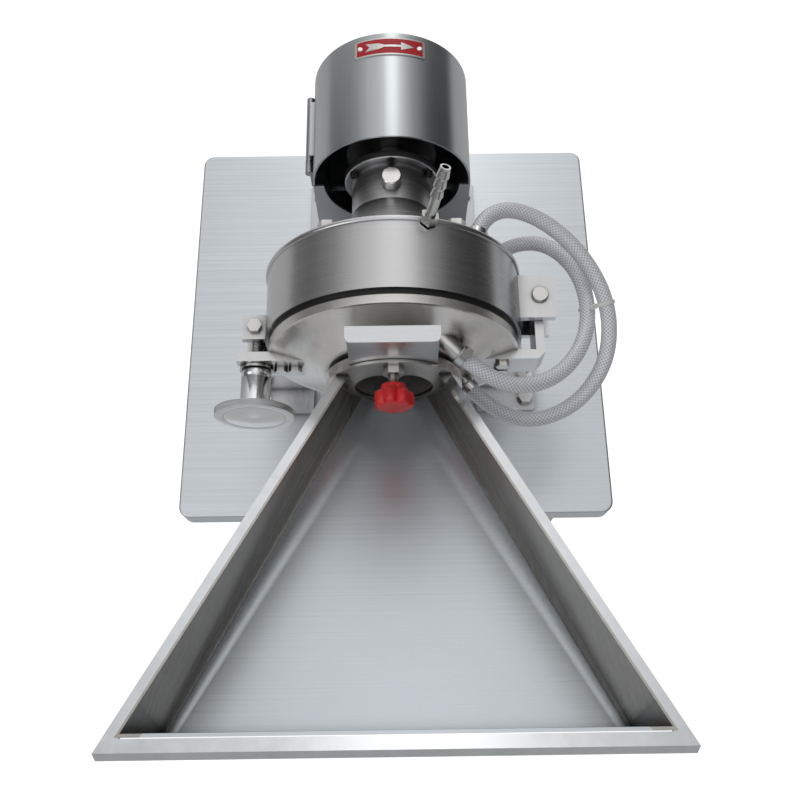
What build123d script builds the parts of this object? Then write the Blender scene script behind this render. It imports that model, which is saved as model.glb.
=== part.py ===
from build123d import *
import math
import os

os.makedirs("parts", exist_ok=True)

# Cabinet and top plate. The origin is below the middle, on the floor.
PLATE_TOP = 840.0
PLATE_FRONT = -127.5
PLATE_W = 520.0
PLATE_D = 510.0
PLATE_BACK = PLATE_FRONT + PLATE_D
PLATE_MID = PLATE_FRONT + PLATE_D / 2
SHEET = 3.0
SKIRT = 28.0
OVERHANG = 38.0
BODY_W = PLATE_W - 2 * OVERHANG
BODY_D = PLATE_D - 2 * OVERHANG
BODY_FRONT = PLATE_FRONT + OVERHANG
BODY_BACK = PLATE_BACK - OVERHANG
FLOOR_GAP = 30.0

# Mill axis and the stations along it, front to back.
AXIS_Z = PLATE_TOP + 200.0
DRUM_R = 131.0
DRUM_FRONT = PLATE_FRONT + 132.0
DRUM_BACK = DRUM_FRONT + 74.0
CHAMBER_R = 110.0
GASKET_T = 5.0
RIM_BACK = DRUM_FRONT - GASKET_T
RIM_T = 8.4
RIM_FRONT = RIM_BACK - RIM_T
RIM_R = 127.0
EAR_T = 10.0
EAR_FRONT = RIM_FRONT - EAR_T
CONE_END = RIM_FRONT - 20.6
NECK_R = 60.0
FLANGE_R = 69.0
FLANGE_BACK = CONE_END - 2.0
FLANGE_FRONT = FLANGE_BACK - 5.0
SLOT = 3.0
HOPPER_FLANGE_T = 3.0
THROAT_BACK = FLANGE_FRONT - SLOT
THROAT = THROAT_BACK - HOPPER_FLANGE_T
THROAT_R = 41.0

# Gate plate and its stroke.
GATE_T = 2.0
GATE_W = 84.0
GATE_GAP = (SLOT - GATE_T) / 2
GATE_BOTTOM = PLATE_TOP + 226.0
GATE_TAB_Z = PLATE_TOP + 338.0
GATE_STROKE = 66.5

# Hopper tray: the rim lies in one tilted plane, and the tray reaches this far in front of the plate.
REACH = 255.0
RIM_TILT = 29.0
RIM_STRIP = 10.0
RIM_AT_THROAT = PLATE_TOP + 238.0
TRAY_T = 2.5
RIM_OUT = 14.1
TRAY_FRONT = PLATE_FRONT - REACH + RIM_OUT

# Shaft, bearings and drive.
SHAFT_R = 20.0
RUN_FIT = 0.05
PULLEY_R = 50.0
MOTOR_PULLEY_R = 75.0
MOTOR_Z = PLATE_TOP - 330.0
BELT_Y = PLATE_FRONT + 386.0

# Latch on the left, hinge on the right.
LATCH_X = -140.0
LATCH_Y = PLATE_FRONT + 145.0
BOLT_R = 6.0
HINGE_X = 150.0
HINGE_Y = PLATE_FRONT + 175.0
LUG_GAP = 36.0
LUG_T = 8.0

# Top plate: one sheet folded down all round, with the belt opening and the hole for the outlet chute.
BELT_X = 84.0
BELT_FRONT = PLATE_FRONT + 331.0
BELT_BACK = PLATE_FRONT + 452.0
CHUTE_W = 150.0
CHUTE_FRONT = DRUM_FRONT + 3.0
CHUTE_BACK = DRUM_BACK - 6.0
with BuildPart() as top_plate:
    with BuildSketch(Plane.XY.offset(PLATE_TOP - SHEET)):
        with Locations((0, PLATE_MID)):
            RectangleRounded(PLATE_W, PLATE_D, 14)
        with Locations((0, (BELT_FRONT + BELT_BACK) / 2)):
            RectangleRounded(2 * BELT_X, BELT_BACK - BELT_FRONT, 6, mode=Mode.SUBTRACT)
        with Locations((0, (CHUTE_FRONT + CHUTE_BACK) / 2)):
            Rectangle(CHUTE_W, CHUTE_BACK - CHUTE_FRONT, mode=Mode.SUBTRACT)
    extrude(amount=SHEET)
    with BuildSketch(Plane.XY.offset(PLATE_TOP - SHEET)):
        with Locations((0, PLATE_MID)):
            RectangleRounded(PLATE_W, PLATE_D, 14)
            RectangleRounded(PLATE_W - 2 * SHEET, PLATE_D - 2 * SHEET, 11, mode=Mode.SUBTRACT)
    extrude(amount=-(SKIRT - SHEET))
    with BuildSketch(Plane.XY.offset(PLATE_TOP - SKIRT)):
        with Locations((0, PLATE_MID)):
            RectangleRounded(PLATE_W, PLATE_D, 14)
            RectangleRounded(PLATE_W - 36, PLATE_D - 36, 4, mode=Mode.SUBTRACT)
    extrude(amount=SHEET)
    top_rim = top_plate.faces().sort_by(Axis.Z)[-1].outer_wire().edges()
    fillet(top_rim, radius=2.4)
top_plate.part.label = "top_plate"
export_step(top_plate.part, "parts/top_plate.step")

# Cabinet panels: four folded sheets standing on the floor pan.
PANEL_TOP = PLATE_TOP - SHEET
PANEL_H = PANEL_TOP - FLOOR_GAP
SPOUT_R = 55.0
SPOUT_Z = PLATE_TOP - 146.0
SWITCH_X = 160.0
SWITCH_Z = PLATE_TOP - 90.0
with BuildPart() as cabinet_front:
    with BuildSketch(Plane.XZ.offset(-(BODY_FRONT + 2))):
        with Locations((0, FLOOR_GAP + PANEL_H / 2)):
            Rectangle(BODY_W, PANEL_H)
        with Locations((0, SPOUT_Z)):
            Circle(SPOUT_R + 0.2, mode=Mode.SUBTRACT)
        with Locations((SWITCH_X, SWITCH_Z)):
            Rectangle(40, 84, mode=Mode.SUBTRACT)
    extrude(amount=2)
    with BuildSketch(Plane.XY.offset(PANEL_TOP)):
        with Locations((0, BODY_FRONT + 11)):
            Rectangle(BODY_W - 8, 18)
    extrude(amount=-2)
cabinet_front.part.label = "cabinet_front"
export_step(cabinet_front.part, "parts/cabinet_front.step")

with BuildPart() as cabinet_rear:
    with BuildSketch(Plane.XZ.offset(-BODY_BACK)):
        with Locations((0, FLOOR_GAP + PANEL_H / 2)):
            Rectangle(BODY_W, PANEL_H)
        with Locations((0, 150), (0, 180), (0, 210), (0, 240), (0, 640), (0, 670), (0, 700)):
            SlotOverall(240, 10, mode=Mode.SUBTRACT)
        with Locations((150, 90)):
            Circle(11, mode=Mode.SUBTRACT)
    extrude(amount=2)
    with BuildSketch(Plane.XY.offset(PANEL_TOP)):
        with Locations((0, BODY_BACK - 11)):
            Rectangle(BODY_W - 8, 18)
    extrude(amount=-2)
cabinet_rear.part.label = "cabinet_rear"
export_step(cabinet_rear.part, "parts/cabinet_rear.step")

with BuildPart() as cabinet_sides:
    with BuildSketch(Plane.YZ.offset(-BODY_W / 2)):
        with Locations((PLATE_MID, FLOOR_GAP + PANEL_H / 2)):
            Rectangle(BODY_D - 4, PANEL_H)
    extrude(amount=2)
    with BuildSketch(Plane.XY.offset(PANEL_TOP)):
        with Locations((-BODY_W / 2 + 11, PLATE_MID)):
            Rectangle(18, BODY_D - 50)
    extrude(amount=-2)
    with BuildSketch(Plane.YZ.offset(BODY_W / 2 - 2)):
        with Locations((PLATE_MID, FLOOR_GAP + PANEL_H / 2)):
            Rectangle(BODY_D - 4, PANEL_H)
    extrude(amount=2)
    with BuildSketch(Plane.XY.offset(PANEL_TOP)):
        with Locations((BODY_W / 2 - 11, PLATE_MID)):
            Rectangle(18, BODY_D - 50)
    extrude(amount=-2)
cabinet_sides.part.label = "cabinet_sides"
export_step(cabinet_sides.part, "parts/cabinet_sides.step")

# Floor pan inside the panels, and a levelling foot under each corner.
FOOT_X = BODY_W / 2 - 36
FOOT_Y = BODY_D / 2 - 36
with BuildPart() as base_pan:
    with BuildSketch(Plane.XY.offset(FLOOR_GAP)):
        with Locations((0, PLATE_MID)):
            Rectangle(BODY_W - 4, BODY_D - 4)
            with GridLocations(2 * FOOT_X, 2 * FOOT_Y, 2, 2):
                Circle(5.2, mode=Mode.SUBTRACT)
    extrude(amount=3)
    with BuildSketch(Plane.XY.offset(FLOOR_GAP + 3)):
        with Locations((0, PLATE_MID)):
            Rectangle(BODY_W - 4, BODY_D - 4)
            Rectangle(BODY_W - 10, BODY_D - 10, mode=Mode.SUBTRACT)
    extrude(amount=27)
base_pan.part.label = "base_pan"
export_step(base_pan.part, "parts/base_pan.step")

with BuildPart() as levelling_feet:
    with BuildSketch(Plane.XY):
        with Locations((0, PLATE_MID)):
            with GridLocations(2 * FOOT_X, 2 * FOOT_Y, 2, 2):
                Circle(22)
    extrude(amount=9)
    pad_edges = levelling_feet.edges().filter_by(GeomType.CIRCLE).group_by(Axis.Z)[-1]
    chamfer(pad_edges, length=3)
    with BuildSketch(Plane.XY.offset(9)):
        with Locations((0, PLATE_MID)):
            with GridLocations(2 * FOOT_X, 2 * FOOT_Y, 2, 2):
                Circle(5.1)
    extrude(amount=46)
    with BuildSketch(Plane.XY.offset(FLOOR_GAP - 8)):
        with Locations((0, PLATE_MID)):
            with GridLocations(2 * FOOT_X, 2 * FOOT_Y, 2, 2):
                RegularPolygon(9.4, 6)
    extrude(amount=8)
levelling_feet.part.label = "levelling_feet"
export_step(levelling_feet.part, "parts/levelling_feet.step")

# Cable gland in the rear panel, where the supply cable comes in.
with BuildPart() as cable_gland:
    with BuildSketch(Plane.XZ.offset(-(BODY_BACK + 6))):
        with Locations((150, 90)):
            RegularPolygon(15, 6)
    extrude(amount=6)
    with BuildSketch(Plane.XZ.offset(-(BODY_BACK + 24))):
        with Locations((150, 90)):
            Circle(11)
    extrude(amount=18)
    with BuildSketch(Plane.XZ.offset(-BODY_BACK)):
        with Locations((150, 90)):
            Circle(11)
    extrude(amount=14)
    with BuildSketch(Plane.XZ.offset(-(BODY_BACK + 24))):
        with Locations((150, 90)):
            Circle(5)
    extrude(amount=38, mode=Mode.SUBTRACT)
    with BuildSketch(Plane.XZ.offset(-(BODY_BACK - 2))):
        with Locations((150, 90)):
            RegularPolygon(15, 6)
            Circle(11, mode=Mode.SUBTRACT)
    extrude(amount=5)
cable_gland.part.label = "cable_gland"
export_step(cable_gland.part, "parts/cable_gland.step")

# Switch box: a shallow box in the front panel with two wells, and a spring button in each well.
BUTTON_R = 11.0
with BuildPart() as switch_box:
    with BuildSketch(Plane.XZ.offset(-(BODY_FRONT + 36))):
        with Locations((SWITCH_X, SWITCH_Z)):
            Rectangle(40, 84)
    extrude(amount=36)
    with BuildSketch(Plane.XZ.offset(-BODY_FRONT)):
        with Locations((SWITCH_X, SWITCH_Z)):
            RectangleRounded(54, 98, 6)
    extrude(amount=6)
    with BuildSketch(Plane.XZ.offset(-(BODY_FRONT - 6))):
        with Locations((SWITCH_X, SWITCH_Z + 20), (SWITCH_X, SWITCH_Z - 20)):
            Circle(BUTTON_R + 0.3)
    extrude(amount=-20, mode=Mode.SUBTRACT)
switch_box.part.label = "switch_box"
export_step(switch_box.part, "parts/switch_box.step")

with BuildPart() as start_button:
    with BuildSketch(Plane.XZ.offset(-(BODY_FRONT + 4))):
        with Locations((SWITCH_X, SWITCH_Z + 20)):
            Circle(BUTTON_R)
    extrude(amount=12)
    chamfer(start_button.edges().group_by(Axis.Y)[0], length=1)
start_button.part.label = "start_button"
export_step(start_button.part, "parts/start_button.step")

with BuildPart() as stop_button:
    with BuildSketch(Plane.XZ.offset(-(BODY_FRONT + 4))):
        with Locations((SWITCH_X, SWITCH_Z - 20)):
            Circle(BUTTON_R)
    extrude(amount=14)
    chamfer(stop_button.edges().group_by(Axis.Y)[0], length=2)
stop_button.part.label = "stop_button"
export_step(stop_button.part, "parts/stop_button.step")

# Drum: double-walled ring for cooling water, open below for the outlet chute.
MILL_AXIS = Axis((0, 0, AXIS_Z), (0, 1, 0))
WALL_T = 4.0
PLATE_T = 6.0
JACKET_BACK = DRUM_BACK - PLATE_T
with BuildPart() as drum_shell:
    with BuildSketch(Plane.YZ):
        with Locations(((DRUM_FRONT + JACKET_BACK) / 2, AXIS_Z + (CHAMBER_R + DRUM_R) / 2)):
            Rectangle(JACKET_BACK - DRUM_FRONT, DRUM_R - CHAMBER_R)
        with Locations(((DRUM_FRONT + 6 + JACKET_BACK) / 2, AXIS_Z + (CHAMBER_R + DRUM_R) / 2)):
            Rectangle(JACKET_BACK - DRUM_FRONT - 6, DRUM_R - CHAMBER_R - 2 * WALL_T, mode=Mode.SUBTRACT)
    revolve(axis=MILL_AXIS)
    with BuildSketch(Plane.XY.offset(AXIS_Z - 70)):
        with Locations((0, (CHUTE_FRONT + 6 + JACKET_BACK) / 2)):
            Rectangle(CHUTE_W - 10, JACKET_BACK - CHUTE_FRONT - 6)
    extrude(amount=-70, mode=Mode.SUBTRACT)
drum_shell.part.label = "drum_shell"
export_step(drum_shell.part, "parts/drum_shell.step")

# Back plate of the drum, with a round bead on its edge and the seat for the bearing housing.
SEAT_R = 47.0
with BuildPart() as drum_back_plate:
    with BuildSketch(Plane.YZ):
        with BuildLine():
            Line((JACKET_BACK, AXIS_Z + SEAT_R), (JACKET_BACK, AXIS_Z + DRUM_R))
            ThreePointArc(
                (JACKET_BACK, AXIS_Z + DRUM_R),
                (JACKET_BACK + PLATE_T / 2, AXIS_Z + DRUM_R + 2),
                (DRUM_BACK, AXIS_Z + DRUM_R),
            )
            Line((DRUM_BACK, AXIS_Z + DRUM_R), (DRUM_BACK, AXIS_Z + SEAT_R))
            Line((DRUM_BACK, AXIS_Z + SEAT_R), (JACKET_BACK, AXIS_Z + SEAT_R))
        make_face()
    revolve(axis=MILL_AXIS)
drum_back_plate.part.label = "drum_back_plate"
export_step(drum_back_plate.part, "parts/drum_back_plate.step")

# Black sealing ring on the drum's front face, which the closed door rests on.
with BuildPart() as door_gasket:
    with BuildSketch(Plane.XZ.offset(-DRUM_FRONT)):
        with Locations((0, AXIS_Z)):
            Circle(RIM_R)
            Circle(CHAMBER_R + 3, mode=Mode.SUBTRACT)
    extrude(amount=GASKET_T - 0.2)
door_gasket.part.label = "door_gasket"
export_step(door_gasket.part, "parts/door_gasket.step")

# Screen ring in the chamber: two end rings joined by bars, with slits between them.
SCREEN_R = CHAMBER_R - 0.1
SCREEN_T = 3.0
with BuildPart() as screen_ring:
    with BuildSketch(Plane.XZ.offset(-(JACKET_BACK - 1))):
        with Locations((0, AXIS_Z)):
            Circle(SCREEN_R)
            Circle(SCREEN_R - SCREEN_T, mode=Mode.SUBTRACT)
    extrude(amount=JACKET_BACK - DRUM_FRONT - 6)
    with BuildSketch(Plane.XZ.offset(-(JACKET_BACK - 7))):
        with Locations((0, AXIS_Z)):
            with PolarLocations(SCREEN_R - SCREEN_T / 2, 40):
                Rectangle(8, 3.2)
    extrude(amount=JACKET_BACK - DRUM_FRONT - 18, mode=Mode.SUBTRACT)
screen_ring.part.label = "screen_ring"
export_step(screen_ring.part, "parts/screen_ring.step")

# Drum feet: on each side an angle flange on the top plate and a web up to the drum's curve.
FOOT_IN = 100.0
FOOT_OUT = 172.0
FOOT_T = 8.0
WEB_FRONT = PLATE_FRONT + 159.0
WEB_BACK = PLATE_FRONT + 165.0
with BuildPart() as drum_feet:
    with BuildSketch(Plane.XY.offset(PLATE_TOP)):
        with Locations((-(FOOT_IN + FOOT_OUT) / 2, PLATE_FRONT + 164)):
            RectangleRounded(FOOT_OUT - FOOT_IN, 72, 3)
        with Locations((-161, PLATE_FRONT + 144), (-161, PLATE_FRONT + 186)):
            Circle(5.1, mode=Mode.SUBTRACT)
    extrude(amount=FOOT_T)
    with BuildSketch(Plane.XZ.offset(-WEB_BACK)):
        with BuildLine():
            Polyline(
                (-FOOT_OUT + 6, PLATE_TOP + FOOT_T),
                (-FOOT_IN, PLATE_TOP + FOOT_T),
                (-FOOT_IN, PLATE_TOP + 132),
                (-122, PLATE_TOP + 154),
                (-138, PLATE_TOP + 154),
                close=True,
            )
        make_face()
        with Locations((0, AXIS_Z)):
            Circle(DRUM_R + 0.2, mode=Mode.SUBTRACT)
    extrude(amount=WEB_BACK - WEB_FRONT)
    mirror(about=Plane.YZ)
drum_feet.part.label = "drum_feet"
export_step(drum_feet.part, "parts/drum_feet.step")

# Hinge lug and latch lug: two plates each, above and below the mill axis, reaching the drum's curve.
with BuildPart() as drum_lugs:
    with BuildSketch(Plane.XY.offset(AXIS_Z + LUG_GAP / 2)):
        with Locations((138, HINGE_Y - 1)):
            Rectangle(54, 48)
        with Locations((HINGE_X, HINGE_Y)):
            Circle(5.05, mode=Mode.SUBTRACT)
    extrude(amount=LUG_T)
    with BuildSketch(Plane.XY.offset(AXIS_Z - LUG_GAP / 2)):
        with Locations((138, HINGE_Y - 1)):
            Rectangle(54, 48)
        with Locations((HINGE_X, HINGE_Y)):
            Circle(5.05, mode=Mode.SUBTRACT)
    extrude(amount=-LUG_T)
    with BuildSketch(Plane.XZ.offset(-PLATE_BACK)):
        with Locations((0, AXIS_Z)):
            Circle(DRUM_R + 0.1)
    extrude(amount=PLATE_D, mode=Mode.SUBTRACT)
    with BuildSketch(Plane.XY.offset(AXIS_Z + LUG_GAP / 2 - 4)):
        with Locations((-137, LATCH_Y)):
            Rectangle(32, 27)
        with Locations((LATCH_X, LATCH_Y)):
            Circle(4.05, mode=Mode.SUBTRACT)
    extrude(amount=LUG_T)
    with BuildSketch(Plane.XY.offset(AXIS_Z - LUG_GAP / 2 + 4)):
        with Locations((-137, LATCH_Y)):
            Rectangle(32, 27)
        with Locations((LATCH_X, LATCH_Y)):
            Circle(4.05, mode=Mode.SUBTRACT)
    extrude(amount=-LUG_T)
    with BuildSketch(Plane.XZ.offset(-PLATE_BACK)):
        with Locations((0, AXIS_Z)):
            Circle(DRUM_R + 0.1)
    extrude(amount=PLATE_D, mode=Mode.SUBTRACT)
drum_lugs.part.label = "drum_lugs"
export_step(drum_lugs.part, "parts/drum_lugs.step")

LATCH_TOP = AXIS_Z + LUG_GAP / 2 - 4 + LUG_T
LATCH_LOW = AXIS_Z - LUG_GAP / 2 + 4 - LUG_T
# Hinge pin with a flat round head, and the latch's pivot bolt with a hex head and a nut.
with BuildPart() as pivot_pins:
    with BuildSketch(Plane.XY.offset(AXIS_Z - LUG_GAP / 2 - LUG_T - 4)):
        with Locations((HINGE_X, HINGE_Y)):
            Circle(5)
    extrude(amount=LUG_GAP + 2 * LUG_T + 4)
    with BuildSketch(Plane.XY.offset(AXIS_Z + LUG_GAP / 2 + LUG_T)):
        with Locations((HINGE_X, HINGE_Y)):
            Circle(8.5)
    extrude(amount=3.5)
    chamfer(pivot_pins.edges().group_by(Axis.Z)[-1], length=0.8)
    with BuildSketch(Plane.XY.offset(LATCH_LOW - 8)):
        with Locations((LATCH_X, LATCH_Y)):
            Circle(4)
    extrude(amount=LATCH_TOP - LATCH_LOW + 8)
    with BuildSketch(Plane.XY.offset(LATCH_TOP)):
        with Locations((LATCH_X, LATCH_Y)):
            RegularPolygon(6.5, 6, major_radius=False)
    extrude(amount=5.3)
    with BuildSketch(Plane.XY.offset(LATCH_LOW)):
        with Locations((LATCH_X, LATCH_Y)):
            RegularPolygon(6.5, 6, major_radius=False)
    extrude(amount=-6.5)
pivot_pins.part.label = "pivot_pins"
export_step(pivot_pins.part, "parts/pivot_pins.step")

# Door: a flat cone with a rim ring and a neck, hollow for water, closed behind by the pin plate.
DOOR_PLATE_T = 6.0
DOOR_PLATE_R = 112.0
THROAT_WALL_R = 46.0
with BuildPart() as door_dish:
    with BuildSketch(Plane.YZ):
        with BuildLine():
            Polyline(
                (RIM_BACK, AXIS_Z + THROAT_R),
                (RIM_BACK, AXIS_Z + THROAT_WALL_R),
                (CONE_END + 3.4, AXIS_Z + THROAT_WALL_R),
                (CONE_END + 3.4, AXIS_Z + NECK_R),
                (RIM_FRONT - 0.5, AXIS_Z + DOOR_PLATE_R),
                (RIM_BACK, AXIS_Z + DOOR_PLATE_R),
                (RIM_BACK, AXIS_Z + RIM_R),
                (RIM_FRONT, AXIS_Z + RIM_R),
                (RIM_FRONT, AXIS_Z + RIM_R - 3),
                (CONE_END, AXIS_Z + NECK_R),
                (FLANGE_BACK, AXIS_Z + NECK_R),
                (FLANGE_BACK, AXIS_Z + THROAT_R),
                close=True,
            )
        make_face()
    revolve(axis=MILL_AXIS)
door_dish.part.label = "door_dish"
export_step(door_dish.part, "parts/door_dish.step")

# Ring flange on the neck, with a C-shaped spacer in front of it that guides the gate.
with BuildPart() as neck_flange:
    with BuildSketch(Plane.XZ.offset(-FLANGE_BACK)):
        with Locations((0, AXIS_Z)):
            Circle(FLANGE_R)
            Circle(THROAT_R, mode=Mode.SUBTRACT)
    extrude(amount=FLANGE_BACK - FLANGE_FRONT)
    with BuildSketch(Plane.XZ.offset(-FLANGE_FRONT)):
        with Locations((0, AXIS_Z)):
            Circle(FLANGE_R)
        with Locations((0, AXIS_Z + 30)):
            Rectangle(GATE_W + 0.6, 2 * 71.5, mode=Mode.SUBTRACT)
    extrude(amount=SLOT)
neck_flange.part.label = "neck_flange"
export_step(neck_flange.part, "parts/neck_flange.step")

# Fixed pins on the door's pin plate stand between the two rings of rotor pins.
FIXED_RING = 80.0
INNER_RING = 62.0
OUTER_RING = 98.0
with BuildPart() as door_pin_plate:
    with BuildSketch(Plane.XZ.offset(-RIM_BACK)):
        with Locations((0, AXIS_Z)):
            Circle(DOOR_PLATE_R)
            Circle(THROAT_WALL_R, mode=Mode.SUBTRACT)
    extrude(amount=DOOR_PLATE_T)
    with BuildSketch(Plane.XZ.offset(-RIM_BACK)):
        with Locations((0, AXIS_Z)):
            with PolarLocations(FIXED_RING, 12):
                Circle(4)
    extrude(amount=-17.5)
door_pin_plate.part.label = "door_pin_plate"
export_step(door_pin_plate.part, "parts/door_pin_plate.step")

# Hinge arm: a bar across the rim, turned back beside it to a knuckle on the pin.
ARM_H = LUG_GAP - 1.0
with BuildPart() as hinge_arm:
    with BuildSketch(Plane.XY.offset(AXIS_Z - ARM_H / 2)):
        with BuildLine():
            Polyline(
                (72, EAR_FRONT),
                (146, EAR_FRONT),
                (153, EAR_FRONT + 7),
                (153, HINGE_Y),
                (144, HINGE_Y),
                (144, RIM_FRONT),
                (88, RIM_FRONT),
                (72, EAR_FRONT + 2),
                close=True,
            )
        make_face()
        with Locations((HINGE_X, HINGE_Y)):
            Circle(10)
            Circle(5.05, mode=Mode.SUBTRACT)
    extrude(amount=ARM_H)
    with BuildSketch(Plane.YZ):
        with BuildLine():
            Polyline(
                (RIM_FRONT, AXIS_Z),
                (RIM_FRONT, AXIS_Z + RIM_R - 3),
                (CONE_END, AXIS_Z + NECK_R),
                (CONE_END, AXIS_Z),
                close=True,
            )
        make_face()
    revolve(axis=MILL_AXIS, mode=Mode.SUBTRACT)
hinge_arm.part.label = "hinge_arm"
export_step(hinge_arm.part, "parts/hinge_arm.step")

# Latch ear: a plate on the left of the rim, with an open slot for the closing bolt.
with BuildPart() as latch_ear:
    with BuildSketch(Plane.XZ.offset(-RIM_FRONT)):
        with Locations((-118, AXIS_Z)):
            Rectangle(80, 40)
        with Locations((LATCH_X - 12, AXIS_Z)):
            SlotOverall(38, 14, mode=Mode.SUBTRACT)
    extrude(amount=EAR_T)
    with BuildSketch(Plane.YZ):
        with BuildLine():
            Polyline(
                (RIM_FRONT, AXIS_Z),
                (RIM_FRONT, AXIS_Z + RIM_R - 3),
                (CONE_END, AXIS_Z + NECK_R),
                (CONE_END, AXIS_Z),
                close=True,
            )
        make_face()
    revolve(axis=MILL_AXIS, mode=Mode.SUBTRACT)
latch_ear.part.label = "latch_ear"
export_step(latch_ear.part, "parts/latch_ear.step")

# Hex screws that hold the ear and the arm to the door: two on the left, one on the right.
with BuildPart() as door_screws:
    with BuildSketch(Plane.XZ.offset(-EAR_FRONT)):
        with Locations((-115, AXIS_Z), (-100.5, AXIS_Z), (110, AXIS_Z + 8), (110, AXIS_Z - 8)):
            RegularPolygon(6, 6, major_radius=False)
    extrude(amount=5.3)
door_screws.part.label = "door_screws"
export_step(door_screws.part, "parts/door_screws.step")

# Closing bolt: an eye on the pivot bolt and a threaded rod through the ear's slot.
BOLT_END = PLATE_FRONT + 60.0
with BuildPart() as closing_bolt:
    with BuildSketch(Plane.XY.offset(LATCH_LOW + LUG_T + 0.5)):
        with Locations((LATCH_X, LATCH_Y)):
            Circle(8.6)
            Circle(4.05, mode=Mode.SUBTRACT)
    extrude(amount=LATCH_TOP - LATCH_LOW - 2 * LUG_T - 1)
    with BuildSketch(Plane.XZ.offset(-(LATCH_Y - 8))):
        with Locations((LATCH_X, AXIS_Z)):
            Circle(BOLT_R)
    extrude(amount=LATCH_Y - 8 - BOLT_END)
closing_bolt.part.label = "closing_bolt"
export_step(closing_bolt.part, "parts/closing_bolt.step")

with BuildPart() as closing_washer:
    with BuildSketch(Plane.XZ.offset(-(EAR_FRONT - 0.3))):
        with Locations((LATCH_X, AXIS_Z)):
            Circle(17)
            Circle(BOLT_R + RUN_FIT, mode=Mode.SUBTRACT)
    extrude(amount=3)
closing_washer.part.label = "closing_washer"
export_step(closing_washer.part, "parts/closing_washer.step")

# Handwheel: a long round nut with a disc, grooved round its edge and recessed in its face.
WHEEL_BACK = EAR_FRONT - 3.4
DISC_BACK = PLATE_FRONT + 62.0
DISC_FRONT = PLATE_FRONT + 55.0
with BuildPart() as handwheel:
    with BuildSketch(Plane.YZ.offset(LATCH_X)):
        with BuildLine():
            Polyline(
                (WHEEL_BACK, AXIS_Z),
                (WHEEL_BACK, AXIS_Z + 13.5),
                (WHEEL_BACK - 1.5, AXIS_Z + 15),
                (DISC_BACK, AXIS_Z + 15),
                (DISC_BACK, AXIS_Z + 39),
                (DISC_BACK - 1, AXIS_Z + 40),
                (DISC_FRONT + 1, AXIS_Z + 40),
                (DISC_FRONT, AXIS_Z + 39),
                (DISC_FRONT, AXIS_Z + 31),
                (DISC_FRONT + 1.5, AXIS_Z + 30),
                (DISC_FRONT + 1.5, AXIS_Z + 13),
                (DISC_FRONT, AXIS_Z + 12),
                (DISC_FRONT, AXIS_Z),
                close=True,
            )
        make_face()
    revolve(axis=Axis((LATCH_X, 0, AXIS_Z), (0, 1, 0)))
    with BuildSketch(Plane.XZ.offset(-DISC_BACK)):
        with Locations((LATCH_X, AXIS_Z)):
            with PolarLocations(40.6, 60):
                Circle(1.1)
    extrude(amount=DISC_BACK - DISC_FRONT, mode=Mode.SUBTRACT)
    with BuildSketch(Plane.XZ.offset(-WHEEL_BACK)):
        with Locations((LATCH_X, AXIS_Z)):
            Circle(BOLT_R + RUN_FIT)
    extrude(amount=WHEEL_BACK - DISC_FRONT - 2.5, mode=Mode.SUBTRACT)
handwheel.part.label = "handwheel"
export_step(handwheel.part, "parts/handwheel.step")

# Gate: a thin plate with its top bent forward as a finger tab.
GATE_FRONT = THROAT_BACK + GATE_GAP
TAB_OUT = 15.5
with BuildPart() as gate_plate:
    with BuildSketch(Plane.XZ.offset(-(GATE_FRONT + GATE_T))):
        with Locations((0, (GATE_BOTTOM + GATE_TAB_Z) / 2)):
            Rectangle(GATE_W, GATE_TAB_Z - GATE_BOTTOM)
    extrude(amount=GATE_T)
    with BuildSketch(Plane.XY.offset(GATE_TAB_Z - GATE_T)):
        with Locations((0, GATE_FRONT + GATE_T - TAB_OUT / 2)):
            Rectangle(GATE_W, TAB_OUT)
    extrude(amount=GATE_T)
    tab_corners = gate_plate.edges().filter_by(Axis.Z).group_by(Axis.Y)[0]
    fillet(tab_corners, radius=6)
gate_plate.part.label = "gate_plate"
export_step(gate_plate.part, "parts/gate_plate.step")

# Hopper flange, with the tapped hole for the gate's clamp screw.
CLAMP_Z = PLATE_TOP + 255.0
with BuildPart() as hopper_flange:
    with BuildSketch(Plane.XZ.offset(-THROAT_BACK)):
        with Locations((0, AXIS_Z)):
            Circle(FLANGE_R)
            Circle(THROAT_R - 1, mode=Mode.SUBTRACT)
        with Locations((0, CLAMP_Z)):
            Circle(5.05, mode=Mode.SUBTRACT)
    extrude(amount=HOPPER_FLANGE_T)
    with BuildSketch(Plane.XZ.offset(-THROAT)):
        with Locations((0, CLAMP_Z)):
            RegularPolygon(8.5, 6, major_radius=False)
            Circle(5.05, mode=Mode.SUBTRACT)
    extrude(amount=8)
hopper_flange.part.label = "hopper_flange"
export_step(hopper_flange.part, "parts/hopper_flange.step")

# Hopper tray: a round-bottomed throat that opens into a wide flat floor, cut off by the tilted rim plane.
RIM_SIN = math.sin(math.radians(RIM_TILT))
RIM_COS = math.cos(math.radians(RIM_TILT))
rim_plane = Plane(origin=(0, THROAT, RIM_AT_THROAT), x_dir=(-1, 0, 0), z_dir=(0, RIM_SIN, RIM_COS))
BEND_IN = 3.0
BEND_Z = AXIS_Z
FLOOR_IN = 160.0
FLOOR_Z = PLATE_TOP + 345.5
FLOOR_R = 13.0
WALL_FOOT = FLOOR_IN + FLOOR_R
WALL_TOP = 191.5
TRAY_TOP_Z = PLATE_TOP + 452.0
WALL_LEAN = (WALL_TOP - WALL_FOOT) / (TRAY_TOP_Z - FLOOR_Z - FLOOR_R)
FRONT_TOP_Z = RIM_AT_THROAT + (THROAT - TRAY_FRONT) * RIM_SIN / RIM_COS
TRAY_HALF = WALL_FOOT + (FRONT_TOP_Z - FLOOR_Z - FLOOR_R) * WALL_LEAN
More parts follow.
